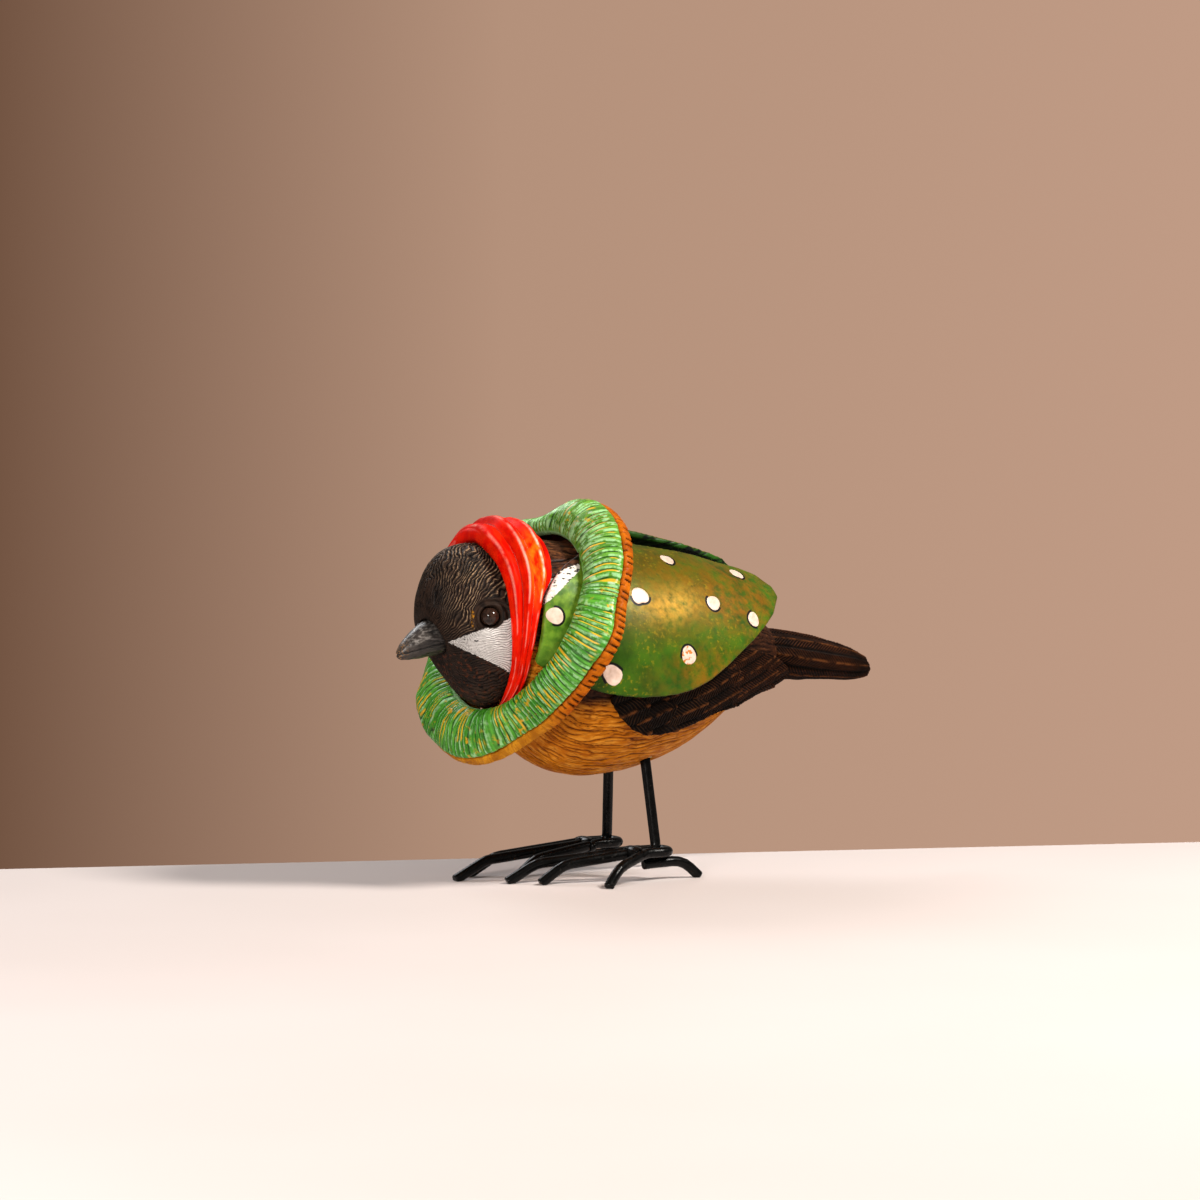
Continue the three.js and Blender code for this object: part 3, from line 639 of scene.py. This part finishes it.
def finish_ruff(ring):
    piece = cast_copy("collar_ruff", voxel=0.32 * MM, rounds=24)
    points = read_points(piece.data)
    turn, reach, lead = ring_place(points, ring)
    share = turn / (2 * math.pi)
    inner = -edge_at(turn, -reach)
    out = (reach - inner) / (edge_at(turn, reach) - inner)
    drift = cell_noise(share * 12, reach / (11 * MM), lead / (14 * MM), 51, 12)
    width = cell_noise(share * 62, reach / (14 * MM), 0, 56, 62)
    count = GILLS * (share + 0.012 * drift) + 0.7 * width
    sine = np.sin(math.pi * count)
    ridge = np.abs(sine) ** 0.45
    low = smooth_step(np.cos(turn), 0.3, -0.5)
    gilled = smooth_step(out, 0.02, 0.2 - 0.12 * low) * smooth_step(out, 0.99, 0.9)
    depth = 0.6 + 0.3 * cell_noise(share * 60, reach / (6 * MM), 0, 52, 60)
    fine = strokes(share * 230 + 1.5 * drift, reach + lead, 7 * MM, 53)
    gills = 0.95 * gilled * depth * (ridge - 0.7)
    carve(piece, MM * (gills - 0.1 * (1 - fine) + 0.3 * blobs(points, 6 * MM, 54)))
    yellow = cell_noise(count * 0.8, reach / (4 * MM), lead / (4 * MM), 55)
    crown = bump(np.sin(turn / 2 - 0.25), 0, 0.35)
    store(piece, sine=sine, cosine=np.cos(math.pi * count), gilled=gilled, fine=fine,
          yellow=0.5 + 0.5 * yellow, lip=smooth_step(out, 0.05, 0.02), crown=crown,
          across=share * 420 + 3 * drift, along=(reach + lead) / (4 * MM))
    return finish_piece(piece, ruff_material())


def ruff_material():
    s = Shader("frill_green_paint")
    patch = s.patches(8 * MM, 4, 0.35, 0.65)
    green = s.mix(patch, "37861a", "5aa238")
    green = s.mix(s.times(s.field("crown"), 0.55), green, "6c8c2c")
    depth = s.math("ABSOLUTE", s.field("sine"))
    flank = s.times(s.times(s.field("sine"), s.field("cosine")), 2.0)
    lines = s.lines("across", "along", 0.04)
    green = s.mix(s.times(s.between(s.field("fine"), 0.45, 0.0), 0.5), green, "276012")
    green = s.mix(s.raised(lines, 0.35), "22560e", green)
    groove = s.times(s.between(depth, 0.55, 0.1), s.between(s.field("gilled"), 0.0, 0.5))
    green = s.mix(s.times(groove, s.patches(4 * MM, 3, 0.35, 0.6, 0.35, 1.0)), green, "0e3406")
    ochre = s.times(s.between(flank, 0.6, 0.85), s.between(s.field("yellow"), 0.48, 0.6))
    ochre = s.times(ochre, s.field("gilled"))
    green = s.mix(s.times(ochre, 0.9), green, "cf9e22")
    # Painted highlight: mint on one flank of each gill, in broken patches.
    broken = s.patches(1.8 * MM, 5, 0.42, 0.56)
    flank_highlight = s.times(s.between(flank, -0.2, -0.75), broken)
    green = s.mix(s.times(flank_highlight, 0.6), green, "a6dca0")
    # Painted highlight: thin white streaks along the tops of the gills.
    streak = s.raised(s.lines("along", "across", 0.3), 0.2)
    white = s.times(s.between(depth, 0.9, 0.99), s.patches(2.6 * MM, 5, 0.5, 0.6))
    green = s.mix(s.times(s.times(white, streak), 0.8), green, "e6f4dc")
    smear = s.times(s.patches(1.6 * MM, 5, 0.58, 0.66), s.patches(12 * MM, 2, 0.5, 0.6))
    green = s.mix(s.times(smear, 0.75), green, "d29a10")
    green = s.mix(s.times(s.field("lip"), 0.6), green, "9ecb96")
    roughness = s.patches(1.4 * MM, 3, 0.3, 0.7, 0.26, 0.42)
    return s.finish(green, roughness, s.math("ADD", s.noise(0.6 * MM, 4), lines), 0.05 * MM, 0.25, 0.1)


def finish_backing(ring):
    piece = cast_copy("collar_backing", voxel=0.34 * MM, rounds=34)
    points = read_points(piece.data)
    turn, reach, lead = ring_place(points, ring)
    share = turn / (2 * math.pi)
    outer = reach > edge_at(turn, reach) - 2 * MM
    # How far each point lies ahead of the outer rim's rear edge. The points further in don't count as rim.
    behind = lead + edge_at(turn, np.where(outer, -lead, -0.1))
    drift = cell_noise(share * 20, lead / (9 * MM), 0, 61, 20)
    count = RIM_NOTCHES * (share + 0.003 * drift)
    across = np.abs(count - np.round(count))
    number = np.mod(np.round(count), RIM_NOTCHES)
    spread = cell_noise(number, 0, 0, 62)
    taper = 0.30 - 0.12 * np.clip(behind / NOTCH_LENGTH, 0, 1)
    notch = smooth_step(across, taper, taper - 0.12)
    length = NOTCH_LENGTH * (1 + 0.25 * spread)
    notch = notch * smooth_step(behind, length + 0.4 * MM, NOTCH_LENGTH - 0.4 * MM)
    low_front = smooth_step(np.cos(turn), -0.6, -0.88)
    notch = notch * smooth_step(reach, 27 * MM, 29 * MM) * (0.35 + 0.65 * smooth_step(spread, -0.9, -0.5))
    notch = notch * (1 - low_front)
    grain = strokes(share * 130 + 2 * drift, lead, 5 * MM, 63)
    carve(piece, MM * (-0.55 * notch - 0.1 * (1 - grain) + 0.15 * blobs(points, 4 * MM, 64)))
    pull = RIM_PULL * smooth_step(behind, RIM_PULL_LENGTH, 0.6 * MM) * smooth_step(reach, 27 * MM, 30 * MM)
    write_points(piece.data, read_points(piece.data) + pull[:, None] * ring[1])
    # inner marks the part of the backing inside the ruff, which the material darkens as painted shade.
    store(piece, notch=notch, groove=grain, low_front=low_front, inner=smooth_step(reach, 28 * MM, 26 * MM),
          across=share * 300 + 3 * drift, along=lead / (4 * MM))
    return finish_piece(piece, backing_material())


def backing_material():
    s = Shader("rim_ochre_paint")
    patch = s.patches(5 * MM, 4, 0.35, 0.65)
    orange = s.mix(patch, "9c4806", "b4600a")
    ochre = s.mix(patch, "a86a12", "c48820")
    colour = s.mix(s.field("low_front"), orange, ochre)
    grain = s.math("MINIMUM", s.between(s.field("groove"), 0.0, 0.5), s.lines("across", "along", 0.04))
    colour = s.mix(s.raised(grain, 0.6), "6a2e06", colour)
    colour = s.mix(s.field("notch"), colour, "150702")
    # Painted shade: the inner part of the backing, behind the ruff round the neck, is darkened nearly to
    # black.
    colour = s.mix(s.times(s.field("inner"), 0.85), colour, "1c0e04")
    roughness = s.patches(1.4 * MM, 3, 0.3, 0.7, 0.38, 0.55)
    return s.finish(colour, roughness, s.noise(0.6 * MM, 4), 0.05 * MM, 0.02, 0.04)


# ---- torso

# The neck's white stripe: its place round the neck in degrees at STRIPE_FRONT, the degrees it climbs per
# millimetre towards the rear, half its width in degrees, and where it is full and where it runs out.
STRIPE_ANGLE = 31.5
STRIPE_SWEEP = 1.4
STRIPE_HALF_WIDTH = 7
STRIPE_FRONT = 38.7 * MM
STRIPE_END = 25.5 * MM
NECK_AXIS_HEIGHT = 67 * MM


def neck_paint(points, ring):
    """Places on the painted neck inside the ring: a mask of it, and degrees inside and above the stripe."""
    _, reach, lead = ring_place(points, ring)
    inside = smooth_step(lead, -3.5 * MM, -2 * MM) * smooth_step(reach, 26 * MM, 25 * MM)
    angle = np.degrees(np.arctan2(points[:, 2] - NECK_AXIS_HEIGHT, np.abs(points[:, 1] - MIDLINE)))
    middle = STRIPE_ANGLE + STRIPE_SWEEP * (STRIPE_FRONT - points[:, 0]) / MM
    half = STRIPE_HALF_WIDTH * np.clip((points[:, 0] - STRIPE_END) / (STRIPE_FRONT - STRIPE_END), 0, 1.1)
    stripe = half - np.abs(angle - middle) - 20 * (1 - inside)
    return inside, stripe, angle - middle - 20 * (1 - inside)


def finish_torso(ring):
    piece = cast_copy("torso_casting", voxel=0.43 * MM, rounds=55)
    points = read_points(piece.data)
    away = points - middle_of("torso_casting")
    turn = np.arctan2(away[:, 1], away[:, 2]) + 0.05 * blobs(points, 10 * MM, 72)
    reach = np.hypot(away[:, 1], away[:, 2])
    groove = round_strokes(turn, reach, points[:, 0], 1.25 * MM, 5.5 * MM, 73)
    inside, stripe, _ = neck_paint(points, ring)
    carve(piece, MM * (-0.36 * (1 - groove) + 0.18 * blobs(points, 4 * MM, 74)))
    wing_rear = corner_arrays("left_wing")[0][0]
    rump = smooth_step(points[:, 2], 46 * MM, 50 * MM) * (1 - inside)
    rump = np.maximum(rump, smooth_step(points[:, 0], wing_rear + 14 * MM, wing_rear + 6 * MM))
    nape = inside * smooth_step(points[:, 2], 62 * MM, 65 * MM)
    store(piece, groove=groove, nape=nape, stripe=stripe, rump=rump, hair_across=turn * 130 / (2 * math.pi),
          hair_along=points[:, 0] / (7 * MM))
    return finish_piece(piece, torso_material())


def torso_material():
    s = Shader("breast_ochre_paint")
    patch = s.patches(9 * MM, 4, 0.3, 0.7, stretch=(0.6, 1, 1))
    groove = s.field("groove")
    hair = s.lines("hair_across", "hair_along", 0.04)
    ochre = s.mix(patch, "9c5206", "b96e10")
    light = s.times(s.between(groove, 0.8, 1.0), s.patches(1.8 * MM, 4, 0.42, 0.62, stretch=(0.5, 1, 1)))
    ochre = s.mix(s.times(light, 0.6), ochre, "dc9a34")
    ochre = s.mix(s.between(groove, 0.1, 0.75), "3c1502", ochre)
    ochre = s.mix(s.raised(hair, 0.45), "5a2806", ochre)
    brown = s.mix(s.between(groove, 0.2, 0.9), "060302", "3a2013")
    ridge = s.times(s.between(groove, 0.75, 1.0), s.patches(1.6 * MM, 4, 0.46, 0.62))
    brown = s.mix(s.times(ridge, 0.6), brown, "7a4a2a")
    brown = s.mix(s.raised(hair, 0.3), "070302", brown)
    colour = s.mix(s.field("rump"), ochre, s.mix(0.45, brown, "1a0b06"))
    colour = s.mix(s.field("nape"), colour, brown)
    colour = s.mix(s.inside("stripe", 0.25, 0.8), colour, stripe_white(s))
    roughness = s.patches(1.6 * MM, 3, 0.3, 0.7, 0.45, 0.65)
    return s.finish(colour, roughness, s.noise(0.5 * MM, 4), 0.06 * MM, 0.02, 0.05)


def stripe_white(s):
    """The neck stripe's white, with black dashes."""
    dash = s.patches(MM, 2, 0.57, 0.6, stretch=(0.6, 1, 1.8))
    white = s.mix(s.patches(0.7 * MM, 3, 0.35, 0.6), "b3aaa2", "d6cdc4")
    return s.mix(dash, white, "1d1713")


# ---- wing covers

DOT_RADIUS = 2.2 * MM
ARC_WIDTH = 0.6 * MM
SCRATCHED_DOT = 5
OFF_PAINT = 9  # millimetres outside any dot
# Painted dots: shares of a cover's box from rear to front and from bottom to top, the direction of the
# middle of the dot's black arc in degrees from the beak's side over the top, and the dot's size.
NEAR_DOTS = ((0.449, 0.868, 225, 0.85), (0.16, 0.767, 250, 0.9), (0.636, 0.63, 275, 1.3),
             (0.34, 0.591, 315, 0.95), (0.178, 0.48, 350, 0.9), (0.478, 0.26, 85, 1.05),
             (0.762, 0.153, 54, 1.35), (0.944, 0.53, 190, 1))
FAR_DOTS = ((0.40, 0.80, 225, 1), (0.17, 0.70, 250, 1), (0.62, 0.56, 275, 1), (0.30, 0.50, 315, 1),
            (0.19, 0.46, 350, 1), (0.50, 0.24, 85, 1), (0.77, 0.16, 54, 1), (0.93, 0.50, 190, 1))


def dot_margins(points, node, outward, dots):
    """Millimetres inside the nearest white dot and inside the black arcs, and a mask of the scratched dot."""
    low, high = corner_arrays(node)
    outer = points[:, 1] * outward
    white = np.full(len(points), -float(OFF_PAINT))
    black = white.copy()
    for number, (share_x, share_z, heading, scale) in enumerate(dots):
        x = low[0] + share_x * (high[0] - low[0])
        z = low[2] + share_z * (high[2] - low[2])
        flat = np.hypot(points[:, 0] - x, points[:, 2] - z)
        spot = points[np.argmax(outer - 40 * flat)]
        away = points - spot
        turn = np.arctan2(away[:, 2], away[:, 0])
        uneven = 1 + 0.06 * np.sin(2 * turn + number) + 0.04 * np.sin(3 * turn + 2 * number)
        margin = (DOT_RADIUS * scale * uneven - np.linalg.norm(away, axis=1)) / MM
        white = np.maximum(white, margin)
        beside = 2 * (np.cos(turn - math.radians(heading)) + 0.2)
        black = np.maximum(black, np.minimum(margin + ARC_WIDTH / MM, beside))
        if number == SCRATCHED_DOT:
            scratched = smooth_step(np.linalg.norm(away, axis=1), 4 * MM, 3 * MM)
    return white, black, scratched


# A cover's rim is where the normals turn by RIM_TURN from point to point. It is widened RIM_ROUNDS times, and
# each round keeps RIM_KEPT of its strength.
RIM_TURN = 0.035
RIM_ROUNDS = 12
RIM_KEPT = 0.92


def relax_faces(mesh, rounds):
    """Evens out a thin sheet's two faces and leaves its rim, where the normals turn quickly, in place."""
    points = read_points(mesh)
    normals = read_normals(mesh)
    edges, degree = read_links(mesh)
    sharp = np.linalg.norm(neighbour_mean(normals, edges, degree) - normals, axis=1)
    rim = (sharp > RIM_TURN).astype(float)[:, None]
    for _ in range(RIM_ROUNDS):
        rim = np.maximum(rim, RIM_KEPT * neighbour_mean(rim, edges, degree))
    free = 1 - smooth_step(rim, 0.02, 0.3)
    for _ in range(rounds):
        points = points + 0.6 * free * (neighbour_mean(points, edges, degree) - points)
    write_points(mesh, points)


def finish_cover(node, outward, dots, ring):
    piece = cast_copy(node, voxel=0.34 * MM, rounds=60, keep_size=True)
    relax_faces(piece.data, 260)
    points = read_points(piece.data)
    normals = read_normals(piece.data)
    low, high = corner_arrays(node)
    white, black, scratched = dot_margins(points, node, outward, dots)
    # inward marks the faces turned in towards the back and down, which get painted shade.
    side_facing = normals[:, 1] * outward + 0.6 * normals[:, 2]
    inward = smooth_step(side_facing, -0.05, -0.35)
    white = white - OFF_PAINT * inward
    black = black - OFF_PAINT * inward
    grooves = strokes(points[:, 2] / (1.3 * MM) + 2 * points[:, 0] / (9 * MM), points[:, 0], 9 * MM, 82)
    height = MM * (0.14 * blobs(points, 9 * MM, 83) + 0.1 * smooth_step(white, -0.2, 0.3))
    carve(piece, height - 0.16 * MM * inward * (1 - grooves))
    share_x = (points[:, 0] - low[0]) / (high[0] - low[0])
    share_z = (points[:, 2] - low[2]) / (high[2] - low[2])
    centre = bump(share_x, 0.52, 0.32) * bump(share_z, 0.70, 0.30)
    # Painted highlight: a golden spot across the upper middle of the cover.
    shine = bump(share_x + 0.35 * (share_z - 0.58), 0.51, 0.10) * bump(share_z, 0.58, 0.12)
    rear = bump(share_x, 0.2, 0.18) * bump(share_z, 0.6, 0.24)
    low_rear = bump(share_x, 0.36, 0.2) * bump(share_z, 0.12, 0.18)
    inside, stripe, above = neck_paint(points, ring)
    store(piece, dot_margin=white, black_margin=black, scratched=scratched, inward=inward, groove=grooves,
          centre=centre, shine=shine, rear=np.maximum(rear, low_rear),
          ringed=inside, stripe=stripe, above=above)
    return finish_piece(piece, cover_material(node))


def cover_material(node):
    s = Shader(node + "_paint")
    patch = s.patches(8 * MM, 5, 0.35, 0.65)
    green = s.mix(patch, "203a02", "305807")
    mottled = s.patches(2.4 * MM, 5, 0.34, 0.62)
    gold = s.times(s.between(s.field("centre"), 0.1, 0.85), s.raised(mottled, 0.5))
    green = s.mix(s.times(gold, 0.9), green, "664c01")
    brush = s.patches(MM, 6, 0.55, 0.66)
    brush = s.times(brush, s.patches(11 * MM, 2, 0.44, 0.6))
    green = s.mix(s.times(brush, 0.45), green, "8e760a")
    tint = s.times(s.field("rear"), mottled)
    green = s.mix(s.times(tint, 0.6), green, "8c5004")
    grime = s.patches(1.5 * MM, 5, 0.58, 0.7)
    green = s.mix(s.times(grime, 0.5), green, "223a04")
    # Painted highlight: the golden spot, mottled.
    shine = s.times(s.field("shine"), s.patches(1.4 * MM, 5, 0.3, 0.62))
    green = s.mix(s.times(shine, 0.5), green, "c8922e")
    s.plug(s.surface.inputs["Metallic"], s.times(gold, 0.3))
    # Painted shade: the inward faces are dark green, darkest in their grooves; the far cover's inner face,
    # which shows, is lighter.
    dark = s.mix(patch, "143008", "24520e") if node.startswith("right") else "0d2a0e"
    dark = s.mix(s.between(s.field("groove"), 0.1, 0.6), "030a04", dark)
    green = s.mix(s.field("inward"), green, dark)
    green = s.mix(s.times(s.field("ringed"), 0.5), green, s.mix(mottled, "3a6412", "78a02e"))
    nape = s.mix(s.patches(1.2 * MM, 3, 0.4, 0.62, stretch=(0.4, 1, 1)), "070302", "4a2a18")
    colour = s.mix(s.inside("above", 0.3), green, nape)
    colour = s.mix(s.inside("stripe", 0.25, 0.8), colour, stripe_white(s))
    colour = s.mix(s.inside("black_margin", 0.05, 0.06), colour, "0a0806")
    cream = s.mix(s.patches(1.3 * MM, 3, 0.3, 0.7), "bfa493", "d6bfb0")
    scratch = s.times(s.patches(1.1 * MM, 2, 0.54, 0.58), s.field("scratched"))
    cream = s.mix(scratch, cream, "b06a2c")
    colour = s.mix(s.inside("dot_margin", 0.05, 0.08), colour, cream)
    roughness = s.patches(1.5 * MM, 4, 0.3, 0.7, 0.38, 0.52)
    return s.finish(colour, roughness, s.noise(1.2 * MM, 4), 0.02 * MM, 0.02, 0.12)


# ---- wings and tail

# Rows of feathers from front to rear: where the row's tips end, and how wide its feathers are.
WING_ROWS = ((9, 7.5), (17, 7.0), (27, 6.0), (40, 5.2), (56, 4.6), (90, 4.2))
TAIL_ROWS = ((90, 3.6),)
FEATHER_BULGE = 4.5 * MM
WING_RISE = math.radians(21)
TAIL_RISE = math.radians(-9)
BARB_PITCH = 0.95 * MM


def layered_feathers(along, across, rows):
    """For each point: place across its feather (-1 to 1), distance to the feather's tip, and its row."""
    side = np.zeros(len(along))
    rest = np.zeros(len(along))
    owner = np.zeros(len(along))
    taken = np.zeros(len(along), bool)
    for number, (end, width) in enumerate(rows):
        cell = across / (width * MM) + 0.5 * (number % 2)
        place = 2 * (cell - np.floor(cell) - 0.5)
        tip = end * MM + FEATHER_BULGE * (1 - place ** 2)
        here = (along < tip) & ~taken
        side[here] = place[here]
        rest[here] = (tip - along)[here]
        owner[here] = number + 0.37 * np.floor(cell)[here]
        taken |= here
    return side, rest, owner


def finish_feathers(node, rows, rise, voxel):
    piece = cast_copy(node, voxel=voxel, rounds=40, keep_size=True)
    points = read_points(piece.data)
    low, high = corner_arrays(node)
    back = high[0] - points[:, 0]
    lift = points[:, 2] - low[2]
    along = back * math.cos(rise) + lift * math.sin(rise)
    across = lift * math.cos(rise) - back * math.sin(rise) + 0.45 * MM * blobs(points, 8 * MM, 91)
    if node == "tail":
        drop = middle_of(node)[2] + (points[:, 0] - middle_of(node)[0]) * math.tan(-rise)
        across = 5 * MM * np.arctan2(points[:, 1] - middle_of(node)[1], points[:, 2] - drop)
    side, rest, owner = layered_feathers(along, across, rows)
    edge = smooth_step(np.abs(side), 0.74, 1.0)
    shaft = bump(side, 0, 0.11)
    barb_cells = (along + np.abs(side) * 2.6 * MM + 0.3 * MM * blobs(points, 2 * MM, 92)) / BARB_PITCH
    barbs = np.abs(np.sin(math.pi * barb_cells)) ** 0.5
    layer = 0.32 * np.exp(-rest / (5 * MM)) - 0.42 * edge + 0.2 * shaft
    height = layer - 0.25 * (1 - barbs) + 0.12 * blobs(points, 3 * MM, 93)
    if node != "tail":
        height = height * smooth_step(np.abs(read_normals(piece.data)[:, 1]), 0.15, 0.5)
    carve(piece, MM * height)
    tone = cell_noise(owner * 3.1, 0, 0, 94)
    store(piece, edge=edge, shaft=shaft, barb_cells=barb_cells, tone=0.5 + 0.5 * tone,
          rear=smooth_step(points[:, 0], high[0] - 18 * MM, high[0] - 50 * MM),
          across=across / (0.7 * MM), along=along / (6 * MM))
    return finish_piece(piece, feather_material(node))


def feather_material(node):
    s = Shader(node + "_paint")
    patch = s.patches(4 * MM, 4, 0.36, 0.62, stretch=(0.5, 1, 1))
    rear = s.field("rear") if node != "tail" else s.raised(patch, 0.7)
    dark = s.mix(rear, "020101", "0a0402")
    ridge = s.mix(rear, "2e1d0f", "42200c")
    barbs = s.math("ABSOLUTE", s.math("SINE", s.times(s.field("barb_cells"), math.pi)))
    brown = s.mix(s.times(s.between(barbs, 0.72, 1.0), s.raised(patch, 0.25)), dark, ridge)
    brown = s.mix(s.times(s.field("tone"), 0.3), brown, "0c0502")
    brown = s.mix(s.raised(s.lines("across", "along", 0.04), 0.3), "050201", brown)
    brown = s.mix(s.field("edge"), brown, "030201")
    crest = s.times(s.field("shaft"), s.patches(2 * MM, 3, 0.38, 0.6))
    brown = s.mix(s.times(crest, 0.6), brown, "6e4020")
    roughness = s.patches(1.4 * MM, 3, 0.3, 0.7, 0.45, 0.62)
    return s.finish(brown, roughness, s.math("ADD", s.noise(0.5 * MM, 4), barbs), 0.1 * MM, 0.0, 0.04)


# ---- wires, beads and hidden pieces

WIRES = ("left_leg_wire", "right_leg_wire", "left_toe_hairpin", "right_toe_hairpin", "left_hind_toe",
         "right_hind_toe", "left_foot_weld", "right_foot_weld")


def finish_wire(node, material):
    piece = cast_copy(node, voxel=0.22 * MM, rounds=8, keep_size=True)
    points = read_points(piece.data)
    carve(piece, 0.02 * MM * blobs(points, 3 * MM, 101))
    return finish_piece(piece, material)


def enamel_material():
    s = Shader("black_enamel")
    worn = s.patches(1.6 * MM, 3, 0.66, 0.72)
    colour = s.mix(s.patches(3 * MM, 3, 0.35, 0.65), "030303", "080808")
    colour = s.mix(s.times(worn, 0.25), colour, "3a3632")
    roughness = s.patches(2.0 * MM, 2, 0.3, 0.7, 0.18, 0.3)
    return s.finish(colour, roughness, s.noise(1.6 * MM, 2), 0.01 * MM, 0.05, 0.1)


def steel_material():
    s = Shader("bare_steel")
    colour = s.mix(s.patches(0.8 * MM, 4, 0.35, 0.65, stretch=(1, 1, 6)), "77787a", "a3a5a8")
    s.surface.inputs["Metallic"].default_value = 1.0
    return s.finish(colour, s.patches(0.6 * MM, 3, 0.3, 0.7, 0.28, 0.45), s.noise(0.4 * MM, 3), 0.02 * MM)


def epoxy_material():
    s = Shader("clear_epoxy")
    colour = s.mix(s.patches(1.2 * MM, 3, 0.35, 0.65), "c8b07a", "dcc894")
    return s.finish(colour, s.patches(0.8 * MM, 3, 0.3, 0.7, 0.1, 0.22), s.noise(0.8 * MM, 3), 0.03 * MM, 0.3)


def keep_node(node, material):
    """A CAD node whose own shape stays, with a finished material."""
    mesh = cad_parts[node].data
    mesh.materials.clear()
    mesh.materials.append(material)


# ---- stage, light and camera

VIEW_AZIMUTH = math.radians(150)
TABLE_TURN = math.radians(11)
TABLE_BACK = 0.046
TABLE_SIZE = 1.5


def view_axes():
    """Horizontal directions of the picture: towards the camera, and to the picture's right."""
    return (np.array([math.sin(VIEW_AZIMUTH), -math.cos(VIEW_AZIMUTH), 0]),
            np.array([math.cos(VIEW_AZIMUTH), math.sin(VIEW_AZIMUTH), 0]))


def make_table():
    near, right = view_axes()
    near, right = (near * math.cos(TABLE_TURN) + right * math.sin(TABLE_TURN),
                   right * math.cos(TABLE_TURN) - near * math.sin(TABLE_TURN))
    corners = []
    for side, depth in ((-1, -TABLE_BACK), (1, -TABLE_BACK), (1, TABLE_SIZE), (-1, TABLE_SIZE)):
        corners.append(right * side * TABLE_SIZE / 2 + near * depth)
    thickness = np.array([0, 0, 0.02])
    mesh = bpy.data.meshes.new("table_top")
    top_and_bottom = [tuple(c) for c in corners] + [tuple(c - thickness) for c in corners]
    sides = [(i, (i + 1) % 4, (i + 1) % 4 + 4, i + 4) for i in range(4)]
    mesh.from_pydata(top_and_bottom, [], [(3, 2, 1, 0), (4, 5, 6, 7)] + sides)
    table = add_object("table_top", mesh)
    s = Shader("table_white")
    colour = s.mix(s.patches(0.2, 3, 0.3, 0.7), "c6bbb8", "ccc2c0")
    mesh.materials.append(s.finish(colour, 0.5))


WORLD_LIGHT = 0.3


def make_world():
    world = bpy.data.worlds.new("soft_room")
    world.use_nodes = True
    tree = world.node_tree
    back = tree.nodes["Background"]
    place = tree.nodes.new("ShaderNodeTexCoord")
    split = tree.nodes.new("ShaderNodeSeparateXYZ")
    tree.links.new(place.outputs["Window"], split.inputs[0])
    # The backdrop seen by the camera is painted light: dark at the picture's left and brighter towards its
    # right.
    ramp = tree.nodes.new("ShaderNodeValToRGB")
    tree.links.new(split.outputs[0], ramp.inputs[0])
    ramp.color_ramp.elements[0].color = paint("735543")
    ramp.color_ramp.elements[1].color = paint("c09b85")
    middle = ramp.color_ramp.elements.new(0.42)
    middle.color = paint("b4917b")
    seen = tree.nodes.new("ShaderNodeLightPath")
    choose = tree.nodes.new("ShaderNodeMix")
    choose.data_type = "RGBA"
    tree.links.new(seen.outputs["Is Camera Ray"], choose.inputs[0])
    choose.inputs[6].default_value = (*(WORLD_LIGHT * value for value in paint("e8dcd2")[:3]), 1)
    tree.links.new(ramp.outputs[0], choose.inputs[7])
    tree.links.new(choose.outputs[2], back.inputs[0])
    bpy.context.scene.world = world


def make_light(name, place, size, power, colour):
    light = bpy.data.lights.new(name, "AREA")
    light.shape = "DISK"
    light.size = size
    light.energy = power
    light.color = colour
    lamp = add_object(name, light)
    lamp.location = place
    aim = add_object(name + "_aim", None)
    aim.location = middle_of("torso_casting")
    track = lamp.constraints.new("TRACK_TO")
    track.target = aim
    track.track_axis = "TRACK_NEGATIVE_Z"
    track.up_axis = "UP_Y"


def make_lights():
    make_light("key", (-0.30, 0.45, 0.62), 0.18, 10, (1, 0.95, 0.88))
    make_light("front", (0.75, 0.60, 0.35), 0.24, 7, (1, 0.95, 0.9))
    make_light("back", (0.1, -0.7, 0.7), 0.45, 4, (0.95, 0.97, 1))


CAMERA_PLACE = (0.452231, 0.761908, 0.109083)
CAMERA_TILT = math.radians(87.7)


def make_camera():
    camera = add_object("camera", bpy.data.cameras.new("camera"))
    camera.data.lens = 100
    camera.data.sensor_width = 36
    camera.location = CAMERA_PLACE
    camera.rotation_euler = (CAMERA_TILT, 0, VIEW_AZIMUTH)
    camera.data.clip_start = 0.01
    bpy.context.scene.camera = camera


# ---- build

def build():
    ring = ring_frame("collar_ruff")
    finish_head()
    finish_beak()
    for node in ("left_eye", "right_eye"):
        finish_eye(node)
    finish_scarf()
    finish_ruff(ring)
    finish_backing(ring)
    finish_torso(ring)
    finish_cover("left_cape_cover", 1, NEAR_DOTS, ring)
    finish_cover("right_cape_cover", -1, FAR_DOTS, ring)
    for node in ("left_wing", "right_wing"):
        finish_feathers(node, WING_ROWS, WING_RISE, 0.34 * MM)
    finish_feathers("tail", TAIL_ROWS, TAIL_RISE, 0.3 * MM)
    enamel = enamel_material()
    for node in WIRES:
        finish_wire(node, enamel)
    steel = steel_material()
    for node in ("neck_dowel", "tail_pin"):
        keep_node(node, steel)
    epoxy = epoxy_material()
    for node in ("left_leg_epoxy", "right_leg_epoxy"):
        keep_node(node, epoxy)


build()
make_table()
make_world()
make_lights()
make_camera()
bpy.context.scene.view_settings.view_transform = "Standard"
